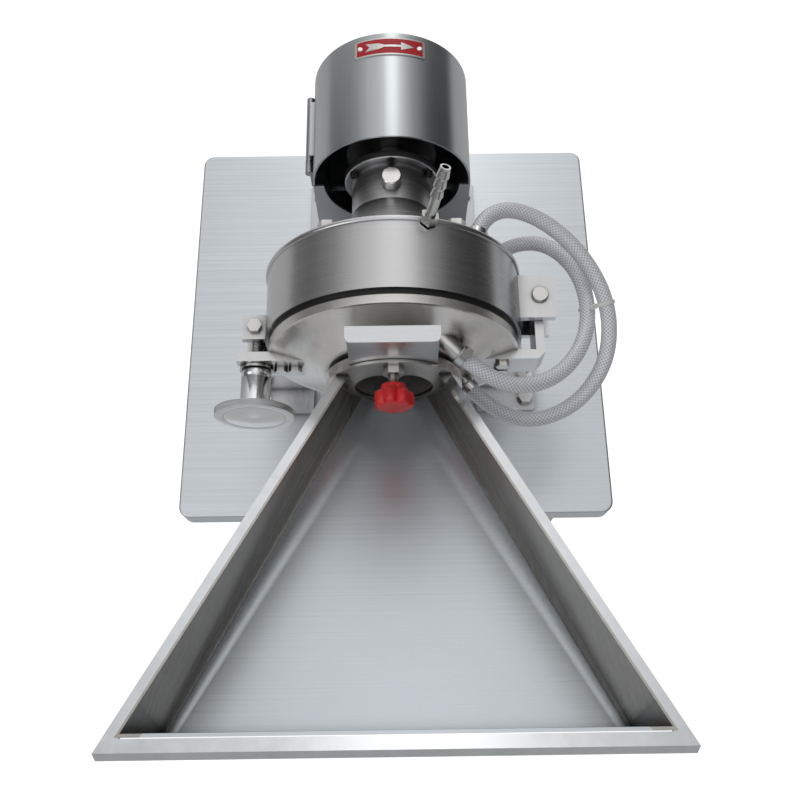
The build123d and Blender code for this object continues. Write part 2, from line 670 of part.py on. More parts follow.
with BuildPart() as tray_outside:
    with BuildSketch(Plane.XZ.offset(-THROAT)):
        with BuildLine():
            Line((46, PLATE_TOP + 262), (46, BEND_Z))
            RadiusArc((46, BEND_Z), (BEND_IN, BEND_Z - 43), 43)
            Line((BEND_IN, BEND_Z - 43), (-BEND_IN, BEND_Z - 43))
            RadiusArc((-BEND_IN, BEND_Z - 43), (-46, BEND_Z), 43)
            Line((-46, BEND_Z), (-46, PLATE_TOP + 262))
            Line((-46, PLATE_TOP + 262), (46, PLATE_TOP + 262))
        make_face()
    with BuildSketch(Plane.XZ.offset(-TRAY_FRONT)):
        with BuildLine():
            Line((WALL_TOP, TRAY_TOP_Z), (WALL_FOOT, FLOOR_Z + FLOOR_R))
            RadiusArc((WALL_FOOT, FLOOR_Z + FLOOR_R), (FLOOR_IN, FLOOR_Z), FLOOR_R)
            Line((FLOOR_IN, FLOOR_Z), (-FLOOR_IN, FLOOR_Z))
            RadiusArc((-FLOOR_IN, FLOOR_Z), (-WALL_FOOT, FLOOR_Z + FLOOR_R), FLOOR_R)
            Line((-WALL_FOOT, FLOOR_Z + FLOOR_R), (-WALL_TOP, TRAY_TOP_Z))
            Line((-WALL_TOP, TRAY_TOP_Z), (WALL_TOP, TRAY_TOP_Z))
        make_face()
    loft(ruled=True)
with BuildPart() as hopper_tray:
    add(tray_outside.part)
    with BuildSketch(Plane.XZ.offset(-THROAT)):
        with BuildLine():
            Line((43.5, PLATE_TOP + 262), (43.5, BEND_Z))
            RadiusArc((43.5, BEND_Z), (BEND_IN, BEND_Z - 40.5), 40.5)
            Line((BEND_IN, BEND_Z - 40.5), (-BEND_IN, BEND_Z - 40.5))
            RadiusArc((-BEND_IN, BEND_Z - 40.5), (-43.5, BEND_Z), 40.5)
            Line((-43.5, BEND_Z), (-43.5, PLATE_TOP + 262))
            Line((-43.5, PLATE_TOP + 262), (43.5, PLATE_TOP + 262))
        make_face()
    with BuildSketch(Plane.XZ.offset(-(TRAY_FRONT + TRAY_T))):
        with BuildLine():
            Line((188.5, PLATE_TOP + 451), (170.2, FLOOR_Z + 11.6))
            RadiusArc((170.2, FLOOR_Z + 11.6), (FLOOR_IN, FLOOR_Z + 1.4), 10.2)
            Line((FLOOR_IN, FLOOR_Z + 1.4), (-FLOOR_IN, FLOOR_Z + 1.4))
            RadiusArc((-FLOOR_IN, FLOOR_Z + 1.4), (-170.2, FLOOR_Z + 11.6), 10.2)
            Line((-170.2, FLOOR_Z + 11.6), (-188.5, PLATE_TOP + 451))
            Line((-188.5, PLATE_TOP + 451), (188.5, PLATE_TOP + 451))
        make_face()
    loft(ruled=True, mode=Mode.SUBTRACT)
    split(bisect_by=rim_plane, keep=Keep.BOTTOM)
hopper_tray.part.label = "hopper_tray"
export_step(hopper_tray.part, "parts/hopper_tray.step")

# Hopper rim: a flat strip round three sides of the tray, with a folded edge.
RIM_HALF = TRAY_HALF + 11.8
RIM_INSIDE = TRAY_HALF - 2.9
RIM_LEN = (THROAT - (PLATE_FRONT - REACH + RIM_STRIP * RIM_SIN)) / RIM_COS
with BuildPart() as hopper_rim:
    with BuildSketch(rim_plane):
        with BuildLine():
            Polyline(
                (44, 0),
                (RIM_INSIDE, RIM_LEN - RIM_STRIP),
                (-RIM_INSIDE, RIM_LEN - RIM_STRIP),
                (-44, 0),
                (-56, 0),
                (-RIM_HALF, RIM_LEN),
                (RIM_HALF, RIM_LEN),
                (56, 0),
                close=True,
            )
        make_face()
    extrude(amount=-RIM_STRIP)
    with BuildSketch(rim_plane.offset(-TRAY_T)):
        with BuildLine():
            Polyline(
                (40, -30),
                (RIM_INSIDE - 4, RIM_LEN - RIM_STRIP - 8),
                (-RIM_INSIDE + 4, RIM_LEN - RIM_STRIP - 8),
                (-40, -30),
                (-56 + TRAY_T, -30),
                (-56 + TRAY_T, 0),
                (-RIM_HALF + TRAY_T, RIM_LEN - TRAY_T),
                (RIM_HALF - TRAY_T, RIM_LEN - TRAY_T),
                (56 - TRAY_T, 0),
                (56 - TRAY_T, -30),
                close=True,
            )
        make_face()
    extrude(amount=-RIM_STRIP, mode=Mode.SUBTRACT)
    add(tray_outside.part, mode=Mode.SUBTRACT)
    with BuildSketch(Plane.XZ.offset(-THROAT)):
        with Locations((0, RIM_AT_THROAT)):
            Rectangle(200, 200)
    extrude(amount=-60, mode=Mode.SUBTRACT)
hopper_rim.part.label = "hopper_rim"
export_step(hopper_rim.part, "parts/hopper_rim.step")

# Clamp nut on the hopper flange, and the screw with its lobed knob, whose tip stops just short of the gate.
KNOB_BACK = PLATE_FRONT + 67.0
with BuildPart() as clamp_knob:
    with BuildSketch(Plane.XZ.offset(-(GATE_FRONT - 0.3))):
        with Locations((0, CLAMP_Z)):
            Circle(5)
    extrude(amount=GATE_FRONT - 0.3 - KNOB_BACK)
    with BuildSketch(Plane.XZ.offset(-KNOB_BACK)):
        with Locations((0, CLAMP_Z)):
            Circle(13)
    extrude(amount=8)
    with BuildSketch(Plane.XZ.offset(-(KNOB_BACK - 8))):
        with Locations((0, CLAMP_Z)):
            Circle(15)
            with PolarLocations(13.5, 7):
                Circle(6)
    extrude(amount=14)
    chamfer(clamp_knob.faces().sort_by(Axis.Y)[0].edges(), length=2)
    with BuildSketch(Plane.XZ.offset(-(KNOB_BACK - 22))):
        with Locations((0, CLAMP_Z)):
            Circle(11)
    extrude(amount=3, taper=45)
clamp_knob.part.label = "clamp_knob"
export_step(clamp_knob.part, "parts/clamp_knob.step")

# Bearing housing: a barrel with a flare against the drum plate, bored for two bearings and a seal.
HOUSING_END = PLATE_FRONT + 326.0
BEARING_R = 36.0
BARREL_R = 43.5
with BuildPart() as bearing_housing:
    with BuildSketch(Plane.YZ):
        with BuildLine():
            Polyline(
                (JACKET_BACK, AXIS_Z + SHAFT_R + 6),
                (JACKET_BACK, AXIS_Z + SEAT_R),
                (DRUM_BACK, AXIS_Z + SEAT_R),
                (DRUM_BACK, AXIS_Z + 66),
                (DRUM_BACK + 6, AXIS_Z + 66),
                (DRUM_BACK + 76, AXIS_Z + BARREL_R),
                (HOUSING_END, AXIS_Z + BARREL_R),
                (HOUSING_END, AXIS_Z + BEARING_R),
                (HOUSING_END - 40, AXIS_Z + BEARING_R),
                (HOUSING_END - 40, AXIS_Z + 30),
                (DRUM_BACK + 46, AXIS_Z + 30),
                (DRUM_BACK + 46, AXIS_Z + BEARING_R),
                (DRUM_BACK + 12, AXIS_Z + BEARING_R),
                (DRUM_BACK + 12, AXIS_Z + SHAFT_R + 6),
                close=True,
            )
        make_face()
    revolve(axis=MILL_AXIS)
    with BuildSketch(Plane.XY.offset(AXIS_Z + 30)):
        with Locations((0, PLATE_FRONT + 300)):
            Circle(4)
    extrude(amount=20, mode=Mode.SUBTRACT)
bearing_housing.part.label = "bearing_housing"
export_step(bearing_housing.part, "parts/bearing_housing.step")

with BuildPart() as bearings:
    with BuildSketch(Plane.YZ):
        with Locations((DRUM_BACK + 28, AXIS_Z + 27.975), (HOUSING_END - 18, AXIS_Z + 27.975)):
            Rectangle(20, BEARING_R - SHAFT_R - 0.05)
    revolve(axis=MILL_AXIS)
bearings.part.label = "bearings"
export_step(bearings.part, "parts/bearings.step")

# Rear bearing cap with six cap screws.
CAP_END = HOUSING_END + 9.0
with BuildPart() as bearing_cap:
    with BuildSketch(Plane.XZ.offset(-CAP_END)):
        with Locations((0, AXIS_Z)):
            Circle(BARREL_R + 8)
            Circle(SHAFT_R + 1, mode=Mode.SUBTRACT)
    extrude(amount=CAP_END - HOUSING_END)
    chamfer(bearing_cap.edges().filter_by(GeomType.CIRCLE).sort_by(SortBy.RADIUS)[-2:], length=1)
bearing_cap.part.label = "bearing_cap"
export_step(bearing_cap.part, "parts/bearing_cap.step")

with BuildPart() as cap_screws:
    with BuildSketch(Plane.XZ.offset(-HOUSING_END)):
        with Locations((0, AXIS_Z)):
            with PolarLocations(BARREL_R + 4.1, 6, start_angle=30):
                Circle(3.5)
    extrude(amount=6)
    with BuildSketch(Plane.XZ.offset(-(HOUSING_END - 6))):
        with Locations((0, AXIS_Z)):
            with PolarLocations(BARREL_R + 4.1, 6, start_angle=30):
                RegularPolygon(1.8, 6)
    extrude(amount=-3, mode=Mode.SUBTRACT)
cap_screws.part.label = "cap_screws"
export_step(cap_screws.part, "parts/cap_screws.step")

# Screw-down grease cap on top of the barrel.
with BuildPart() as grease_cap:
    with BuildSketch(Plane.XY.offset(AXIS_Z + 37)):
        with Locations((0, PLATE_FRONT + 300)):
            Circle(4)
    extrude(amount=8)
    with BuildSketch(Plane.XY.offset(AXIS_Z + BARREL_R + 0.2)):
        with Locations((0, PLATE_FRONT + 300)):
            Circle(10.4)
    extrude(amount=13.5)
    chamfer(grease_cap.edges().group_by(Axis.Z)[-1], length=1)
grease_cap.part.label = "grease_cap"
export_step(grease_cap.part, "parts/grease_cap.step")

# Mill shaft with the rotor, its nut and the pulley, all turning together.
ROTOR_FRONT = DRUM_FRONT + 27.5
PULLEY_W = 46.0
with BuildPart() as mill_shaft:
    with BuildSketch(Plane.XZ.offset(-(BELT_Y + PULLEY_W / 2))):
        with Locations((0, AXIS_Z)):
            Circle(SHAFT_R - RUN_FIT)
    extrude(amount=BELT_Y + PULLEY_W / 2 - ROTOR_FRONT - 12)
    with BuildSketch(Plane.XZ.offset(-(ROTOR_FRONT + 12))):
        with Locations((0, AXIS_Z)):
            Circle(15)
    extrude(amount=22)
mill_shaft.part.label = "mill_shaft"
export_step(mill_shaft.part, "parts/mill_shaft.step")

with BuildPart() as rotor_disc:
    with BuildSketch(Plane.XZ.offset(-(ROTOR_FRONT + 10))):
        with Locations((0, AXIS_Z)):
            Circle(103)
            Circle(15.1, mode=Mode.SUBTRACT)
    extrude(amount=10)
    with BuildSketch(Plane.XZ.offset(-ROTOR_FRONT)):
        with Locations((0, AXIS_Z)):
            with PolarLocations(INNER_RING, 8):
                Circle(5)
            with PolarLocations(OUTER_RING, 14):
                Circle(4)
    extrude(amount=28)
rotor_disc.part.label = "rotor_disc"
export_step(rotor_disc.part, "parts/rotor_disc.step")

with BuildPart() as rotor_nut:
    with BuildSketch(Plane.XZ.offset(-ROTOR_FRONT)):
        with Locations((0, AXIS_Z)):
            Circle(26)
            Circle(15.1, mode=Mode.SUBTRACT)
    extrude(amount=3)
    with BuildSketch(Plane.XZ.offset(-(ROTOR_FRONT - 3))):
        with Locations((0, AXIS_Z)):
            RegularPolygon(23, 6, major_radius=False)
    extrude(amount=14)
    with BuildSketch(Plane.XZ.offset(-(ROTOR_FRONT - 3))):
        with Locations((0, AXIS_Z)):
            Circle(15.1)
    extrude(amount=10, mode=Mode.SUBTRACT)
rotor_nut.part.label = "rotor_nut"
export_step(rotor_nut.part, "parts/rotor_nut.step")

# Pulleys: each is a rim with two V-grooves, the larger on the motor.
GROOVE = 15.0
GROOVE_DEPTH = 9.0
GROOVE_TOP = 6.5
GROOVE_LOW = 3.6
with BuildPart() as mill_pulley:
    with BuildSketch(Plane.YZ):
        with BuildLine():
            Polyline(
                (BELT_Y - PULLEY_W / 2, AXIS_Z + SHAFT_R + 0.05),
                (BELT_Y - PULLEY_W / 2, AXIS_Z + PULLEY_R),
                (BELT_Y - GROOVE / 2 - GROOVE_TOP, AXIS_Z + PULLEY_R),
                (BELT_Y - GROOVE / 2 - GROOVE_LOW, AXIS_Z + PULLEY_R - GROOVE_DEPTH - 2),
                (BELT_Y - GROOVE / 2 + GROOVE_LOW, AXIS_Z + PULLEY_R - GROOVE_DEPTH - 2),
                (BELT_Y - GROOVE / 2 + GROOVE_TOP, AXIS_Z + PULLEY_R),
                (BELT_Y + GROOVE / 2 - GROOVE_TOP, AXIS_Z + PULLEY_R),
                (BELT_Y + GROOVE / 2 - GROOVE_LOW, AXIS_Z + PULLEY_R - GROOVE_DEPTH - 2),
                (BELT_Y + GROOVE / 2 + GROOVE_LOW, AXIS_Z + PULLEY_R - GROOVE_DEPTH - 2),
                (BELT_Y + GROOVE / 2 + GROOVE_TOP, AXIS_Z + PULLEY_R),
                (BELT_Y + PULLEY_W / 2, AXIS_Z + PULLEY_R),
                (BELT_Y + PULLEY_W / 2, AXIS_Z + SHAFT_R + 0.05),
                close=True,
            )
        make_face()
    revolve(axis=MILL_AXIS)
mill_pulley.part.label = "mill_pulley"
export_step(mill_pulley.part, "parts/mill_pulley.step")

MOTOR_AXIS = Axis((0, 0, MOTOR_Z), (0, 1, 0))
MOTOR_SHAFT_R = 14.0
with BuildPart() as motor_pulley:
    with BuildSketch(Plane.YZ):
        with BuildLine():
            Polyline(
                (BELT_Y - PULLEY_W / 2, MOTOR_Z + MOTOR_SHAFT_R + 0.05),
                (BELT_Y - PULLEY_W / 2, MOTOR_Z + MOTOR_PULLEY_R),
                (BELT_Y - GROOVE / 2 - GROOVE_TOP, MOTOR_Z + MOTOR_PULLEY_R),
                (BELT_Y - GROOVE / 2 - GROOVE_LOW, MOTOR_Z + MOTOR_PULLEY_R - GROOVE_DEPTH - 2),
                (BELT_Y - GROOVE / 2 + GROOVE_LOW, MOTOR_Z + MOTOR_PULLEY_R - GROOVE_DEPTH - 2),
                (BELT_Y - GROOVE / 2 + GROOVE_TOP, MOTOR_Z + MOTOR_PULLEY_R),
                (BELT_Y + GROOVE / 2 - GROOVE_TOP, MOTOR_Z + MOTOR_PULLEY_R),
                (BELT_Y + GROOVE / 2 - GROOVE_LOW, MOTOR_Z + MOTOR_PULLEY_R - GROOVE_DEPTH - 2),
                (BELT_Y + GROOVE / 2 + GROOVE_LOW, MOTOR_Z + MOTOR_PULLEY_R - GROOVE_DEPTH - 2),
                (BELT_Y + GROOVE / 2 + GROOVE_TOP, MOTOR_Z + MOTOR_PULLEY_R),
                (BELT_Y + PULLEY_W / 2, MOTOR_Z + MOTOR_PULLEY_R),
                (BELT_Y + PULLEY_W / 2, MOTOR_Z + MOTOR_SHAFT_R + 0.05),
                close=True,
            )
        make_face()
    revolve(axis=MOTOR_AXIS)
motor_pulley.part.label = "motor_pulley"
export_step(motor_pulley.part, "parts/motor_pulley.step")

# Two V-belts, each a closed loop round both pulleys, a hair clear of the grooves.
BELT_HALF = 4.2
BELT_LIFT = 0.5
BELT_DEPTH = 8.0
with BuildSketch(Plane.XZ) as belt_outside:
    with Locations((0, AXIS_Z)):
        Circle(PULLEY_R + BELT_LIFT)
    with Locations((0, MOTOR_Z)):
        Circle(MOTOR_PULLEY_R + BELT_LIFT)
    make_hull()
with BuildSketch(Plane.XZ) as belt_inside:
    with Locations((0, AXIS_Z)):
        Circle(PULLEY_R + BELT_LIFT - BELT_DEPTH)
    with Locations((0, MOTOR_Z)):
        Circle(MOTOR_PULLEY_R + BELT_LIFT - BELT_DEPTH)
    make_hull()
with BuildPart() as v_belts:
    with Locations((0, BELT_Y - GROOVE / 2, 0), (0, BELT_Y + GROOVE / 2, 0)):
        add(extrude(belt_outside.sketch, amount=BELT_HALF, both=True, mode=Mode.PRIVATE))
        add(extrude(belt_inside.sketch, amount=BELT_HALF + 1, both=True, mode=Mode.PRIVATE), mode=Mode.SUBTRACT)
v_belts.part.label = "v_belts"
export_step(v_belts.part, "parts/v_belts.step")

# Motor: finned frame on a foot, cowl in front, shaft out of the rear with the fan inside the cowl.
MOTOR_FRONT = PLATE_FRONT + 100.0
MOTOR_BACK = PLATE_FRONT + 340.0
MOTOR_R = 88.0
PLATFORM_Z = MOTOR_Z - 112.0
with BuildPart() as motor_frame:
    with BuildSketch(Plane.XZ.offset(-(MOTOR_BACK - 12))):
        with Locations((0, MOTOR_Z)):
            Circle(MOTOR_R)
            with PolarLocations(MOTOR_R + 5, 24):
                Rectangle(16, 3)
    extrude(amount=MOTOR_BACK - MOTOR_FRONT - 24)
    with BuildSketch(Plane.XZ.offset(-MOTOR_BACK)):
        with Locations((0, MOTOR_Z)):
            Circle(MOTOR_R + 6)
    extrude(amount=12)
    with BuildSketch(Plane.XZ.offset(-(MOTOR_FRONT + 12))):
        with Locations((0, MOTOR_Z)):
            Circle(MOTOR_R + 6)
    extrude(amount=12)
    with BuildSketch(Plane.XY.offset(PLATFORM_Z)):
        with Locations((0, (MOTOR_FRONT + MOTOR_BACK) / 2)):
            Rectangle(200, 170)
    extrude(amount=12)
    with BuildSketch(Plane.XY.offset(PLATFORM_Z + 12)):
        with Locations((-60, (MOTOR_FRONT + MOTOR_BACK) / 2), (60, (MOTOR_FRONT + MOTOR_BACK) / 2)):
            Rectangle(14, 150)
    extrude(amount=40)
    with BuildSketch(Plane.XZ.offset(-MOTOR_BACK)):
        with Locations((0, MOTOR_Z)):
            Circle(MOTOR_SHAFT_R)
    extrude(amount=MOTOR_BACK - MOTOR_FRONT, mode=Mode.SUBTRACT)
    with BuildSketch(Plane.YZ.offset(MOTOR_R + 5)):
        with Locations(((MOTOR_FRONT + MOTOR_BACK) / 2, MOTOR_Z + 10)):
            RectangleRounded(90, 80, 6)
    extrude(amount=50)
motor_frame.part.label = "motor_frame"
export_step(motor_frame.part, "parts/motor_frame.step")

with BuildPart() as motor_cowl:
    with BuildSketch(Plane.XZ.offset(-(MOTOR_FRONT + 10))):
        with Locations((0, MOTOR_Z)):
            Circle(MOTOR_R + 10)
            Circle(MOTOR_R + 6.05, mode=Mode.SUBTRACT)
    extrude(amount=60)
    with BuildSketch(Plane.XZ.offset(-(MOTOR_FRONT - 48))):
        with Locations((0, MOTOR_Z)):
            Circle(MOTOR_R + 8)
            with PolarLocations(60, 12):
                SlotOverall(36, 8, mode=Mode.SUBTRACT)
    extrude(amount=2)
motor_cowl.part.label = "motor_cowl"
export_step(motor_cowl.part, "parts/motor_cowl.step")

with BuildPart() as motor_shaft:
    with BuildSketch(Plane.XZ.offset(-(BELT_Y + PULLEY_W / 2))):
        with Locations((0, MOTOR_Z)):
            Circle(MOTOR_SHAFT_R - RUN_FIT)
    extrude(amount=BELT_Y + PULLEY_W / 2 - MOTOR_FRONT + 36)
motor_shaft.part.label = "motor_shaft"
export_step(motor_shaft.part, "parts/motor_shaft.step")

with BuildPart() as motor_fan:
    with BuildSketch(Plane.XZ.offset(-(MOTOR_FRONT - 6))):
        with Locations((0, MOTOR_Z)):
            Circle(60)
            with PolarLocations(62, 8):
                Rectangle(44, 4)
            Circle(MOTOR_SHAFT_R, mode=Mode.SUBTRACT)
    extrude(amount=28)
motor_fan.part.label = "motor_fan"
export_step(motor_fan.part, "parts/motor_fan.step")

# Motor shelf between the side panels, and the motor's four bolts.
with BuildPart() as motor_shelf:
    with BuildSketch(Plane.XY.offset(PLATFORM_Z - 6)):
        with Locations((0, (MOTOR_FRONT + MOTOR_BACK) / 2)):
            Rectangle(BODY_W - 4, 230)
            with GridLocations(176, 130, 2, 2):
                SlotOverall(24, 10.4, mode=Mode.SUBTRACT)
    extrude(amount=6)
    with BuildSketch(Plane.YZ.offset(-BODY_W / 2 + 2)):
        with Locations(((MOTOR_FRONT + MOTOR_BACK) / 2, PLATFORM_Z - 26)):
            Rectangle(230, 40)
    extrude(amount=4)
    with BuildSketch(Plane.YZ.offset(BODY_W / 2 - 2)):
        with Locations(((MOTOR_FRONT + MOTOR_BACK) / 2, PLATFORM_Z - 26)):
            Rectangle(230, 40)
    extrude(amount=-4)
motor_shelf.part.label = "motor_shelf"
export_step(motor_shelf.part, "parts/motor_shelf.step")

# Outlet chute: a bent box duct from the drum's underside through the plate to the cabinet front.
DUCT_FRONT = BODY_FRONT + 5.5
with BuildPart() as discharge_chute:
    with BuildSketch(Plane.YZ):
        with BuildLine():
            Polyline(
                (CHUTE_FRONT + 0.5, PLATE_TOP + 95),
                (CHUTE_FRONT + 0.5, PLATE_TOP - 20),
                (DUCT_FRONT, SPOUT_Z + 64),
                (DUCT_FRONT, SPOUT_Z - 64),
                (CHUTE_BACK - 0.5, PLATE_TOP - 58),
                (CHUTE_BACK - 0.5, PLATE_TOP + 95),
                close=True,
            )
        make_face()
    extrude(amount=CHUTE_W / 2 - 0.4, both=True)
    with BuildSketch(Plane.YZ):
        with BuildLine():
            Polyline(
                (CHUTE_FRONT + 3, PLATE_TOP + 96),
                (CHUTE_FRONT + 3, PLATE_TOP - 22),
                (DUCT_FRONT - 1, SPOUT_Z + 60.5),
                (DUCT_FRONT - 1, SPOUT_Z - 61),
                (CHUTE_BACK - 3, PLATE_TOP - 56.5),
                (CHUTE_BACK - 3, PLATE_TOP + 96),
                close=True,
            )
        make_face()
    extrude(amount=CHUTE_W / 2 - 3.0, both=True, mode=Mode.SUBTRACT)
    with BuildSketch(Plane.XZ.offset(-PLATE_BACK)):
        with Locations((0, AXIS_Z)):
            Circle(DRUM_R + 0.1)
    extrude(amount=PLATE_D, mode=Mode.SUBTRACT)
discharge_chute.part.label = "discharge_chute"
export_step(discharge_chute.part, "parts/discharge_chute.step")

SPOUT_END = PLATE_FRONT - 22.0
with BuildPart() as discharge_spout:
    with BuildSketch(Plane.XZ.offset(-(BODY_FRONT + 5.3))):
        with Locations((0, SPOUT_Z)):
            Rectangle(150, 132)
            Circle(SPOUT_R - 3, mode=Mode.SUBTRACT)
    extrude(amount=3)
    with BuildSketch(Plane.XZ.offset(-(BODY_FRONT + 5.3))):
        with Locations((0, SPOUT_Z)):
            Circle(SPOUT_R)
            Circle(SPOUT_R - 3, mode=Mode.SUBTRACT)
    extrude(amount=BODY_FRONT + 5.3 - SPOUT_END)
    with BuildSketch(Plane.XZ.offset(-(BODY_FRONT - 0.3))):
        with Locations((0, SPOUT_Z)):
            Circle(SPOUT_R + 3)
            Circle(SPOUT_R - 1, mode=Mode.SUBTRACT)
    extrude(amount=4.7)
discharge_spout.part.label = "discharge_spout"
export_step(discharge_spout.part, "parts/discharge_spout.step")

# Pulley guard: a fixed box below the mill axis, with outward feet and a round gap for the bearing cap.
GUARD_FRONT = PLATE_FRONT + 326.2
GUARD_BACK = PLATE_FRONT + 457.0
GUARD_R = 87.0
GUARD_T = 2.0
GUARD_MID = (GUARD_FRONT + GUARD_BACK) / 2
GUARD_D = GUARD_BACK - GUARD_FRONT
GUARD_HINGE_X = -91.6
KNUCKLE_R = 4.4
KNUCKLE_IN = 36.0
with BuildPart() as guard_base:
    with BuildSketch(Plane.XY.offset(PLATE_TOP)):
        with Locations((0, GUARD_MID)):
            Rectangle(2 * GUARD_R, GUARD_D)
            Rectangle(2 * (GUARD_R - GUARD_T), GUARD_D - 2 * GUARD_T, mode=Mode.SUBTRACT)
    extrude(amount=199)
    with BuildSketch(Plane.XY.offset(PLATE_TOP)):
        with Locations((0, GUARD_MID)):
            Rectangle(2 * GUARD_R + 44, GUARD_D)
            Rectangle(2 * (GUARD_R - GUARD_T), GUARD_D - 2 * GUARD_T, mode=Mode.SUBTRACT)
    extrude(amount=GUARD_T)
    with BuildSketch(Plane.XZ.offset(-(GUARD_FRONT + 10))):
        with Locations((0, AXIS_Z)):
            Circle(75)
    extrude(amount=20, mode=Mode.SUBTRACT)
    with BuildSketch(Plane.XZ.offset(-(GUARD_MID + 50))):
        with Locations((GUARD_HINGE_X, AXIS_Z)):
            Circle(KNUCKLE_R)
        with Locations((GUARD_HINGE_X + 2.7, AXIS_Z - 14)):
            Rectangle(3.8, 20)
    extrude(amount=50 - KNUCKLE_IN)
    with BuildSketch(Plane.XZ.offset(-(GUARD_MID - KNUCKLE_IN))):
        with Locations((GUARD_HINGE_X, AXIS_Z)):
            Circle(KNUCKLE_R)
        with Locations((GUARD_HINGE_X + 2.7, AXIS_Z - 14)):
            Rectangle(3.8, 20)
    extrude(amount=50 - KNUCKLE_IN)
    with BuildSketch(Plane.XZ.offset(-(GUARD_MID + 50))):
        with Locations((GUARD_HINGE_X, AXIS_Z)):
            Circle(2.5)
    extrude(amount=100)
guard_base.part.label = "guard_base"
export_step(guard_base.part, "parts/guard_base.step")

with BuildPart() as frame_bolts:
    with BuildSketch(Plane.XY.offset(PLATE_TOP + GUARD_T)):
        with Locations((0, GUARD_MID)):
            with GridLocations(2 * GUARD_R + 24, 90, 2, 2):
                Circle(6)
    extrude(amount=3.4)
    chamfer(frame_bolts.edges().group_by(Axis.Z)[-1], length=1.4)
    with BuildSketch(Plane.XY.offset(PLATFORM_Z + 12)):
        with Locations((0, (MOTOR_FRONT + MOTOR_BACK) / 2)):
            with GridLocations(176, 130, 2, 2):
                RegularPolygon(8.1, 6, major_radius=False)
    extrude(amount=6.4)
    with BuildSketch(Plane.XY.offset(PLATE_TOP + FOOT_T)):
        with Locations((-161, PLATE_FRONT + 144), (-161, PLATE_FRONT + 186)):
            Circle(10)
        with Locations((161, PLATE_FRONT + 144), (161, PLATE_FRONT + 186)):
            Circle(10)
    extrude(amount=1.6)
    with BuildSketch(Plane.XY.offset(PLATE_TOP + FOOT_T + 1.6)):
        with Locations((-161, PLATE_FRONT + 144), (-161, PLATE_FRONT + 186)):
            RegularPolygon(8.1, 6, major_radius=False)
        with Locations((161, PLATE_FRONT + 144), (161, PLATE_FRONT + 186)):
            RegularPolygon(8.1, 6, major_radius=False)
    extrude(amount=6.4)
    with BuildSketch(Plane.XY.offset(PLATE_TOP + FOOT_T)):
        with Locations((-161, PLATE_FRONT + 144), (-161, PLATE_FRONT + 186)):
            Circle(5.0)
        with Locations((161, PLATE_FRONT + 144), (161, PLATE_FRONT + 186)):
            Circle(5.0)
    extrude(amount=-FOOT_T)
    with BuildSketch(Plane.XZ.offset(-(DRUM_BACK + 6.4))):
        with Locations((0, AXIS_Z)):
            with PolarLocations(122, 6, start_angle=0):
                RegularPolygon(8.1, 6, major_radius=False)
    extrude(amount=6.4)
frame_bolts.part.label = "frame_bolts"
export_step(frame_bolts.part, "parts/frame_bolts.step")

# Hinge on the guard's left: two fixed knuckles with the pin, and one knuckle on the cover between them.
# Hinged cover: a half-round arch, open in front and closed at the back.
COVER_LOW = AXIS_Z + 0.3
with BuildPart() as guard_cover:
    with BuildSketch(Plane.XZ.offset(-GUARD_BACK)):
        with Locations((0, AXIS_Z)):
            Circle(GUARD_R)
            Circle(GUARD_R - GUARD_T, mode=Mode.SUBTRACT)
    extrude(amount=GUARD_D)
    with BuildSketch(Plane.XZ.offset(-GUARD_BACK)):
        with Locations((0, AXIS_Z)):
            Circle(GUARD_R)
    extrude(amount=GUARD_T)
    with BuildSketch(Plane.XZ.offset(-GUARD_BACK)):
        with Locations((0, AXIS_Z - 100 + 0.3)):
            Rectangle(400, 200)
    extrude(amount=GUARD_D, mode=Mode.SUBTRACT)
    with BuildSketch(Plane.XZ.offset(-(GUARD_MID + KNUCKLE_IN - 0.3))):
        with Locations((GUARD_HINGE_X, AXIS_Z)):
            Circle(KNUCKLE_R)
        with Locations((GUARD_HINGE_X + 3.5, AXIS_Z + 8)):
            Rectangle(5, 12)
        with Locations((0, AXIS_Z)):
            Circle(GUARD_R - 0.5, mode=Mode.SUBTRACT)
        with Locations((GUARD_HINGE_X, AXIS_Z)):
            Circle(2.5 + RUN_FIT, mode=Mode.SUBTRACT)
    extrude(amount=2 * KNUCKLE_IN - 0.6)
guard_cover.part.label = "guard_cover"
export_step(guard_cover.part, "parts/guard_cover.step")

# Turning-direction plate on the cover's crown, with two rivets.
SIGN_Y = PLATE_FRONT + 439.0
with BuildPart() as arrow_plate:
    with BuildSketch(Plane.XZ.offset(-(SIGN_Y + 11))):
        with Locations((0, AXIS_Z)):
            Circle(GUARD_R + 1.2)
            Circle(GUARD_R, mode=Mode.SUBTRACT)
    extrude(amount=22)
    with BuildSketch(Plane.XY.offset(AXIS_Z + GUARD_R + 4)):
        with Locations((0, SIGN_Y)):
            RectangleRounded(75, 22, 2)
    extrude(amount=-30, mode=Mode.INTERSECT)
    with BuildSketch(Plane.XY.offset(AXIS_Z + GUARD_R - 8)):
        with Locations((-31.5, SIGN_Y), (31.5, SIGN_Y)):
            Circle(2.4)
    extrude(amount=4.6)
    with BuildSketch(Plane.XZ.offset(-(SIGN_Y + 11))):
        with Locations((0, AXIS_Z)):
            Circle(GUARD_R)
    extrude(amount=22, mode=Mode.SUBTRACT)
arrow_plate.part.label = "arrow_plate"
export_step(arrow_plate.part, "parts/arrow_plate.step")

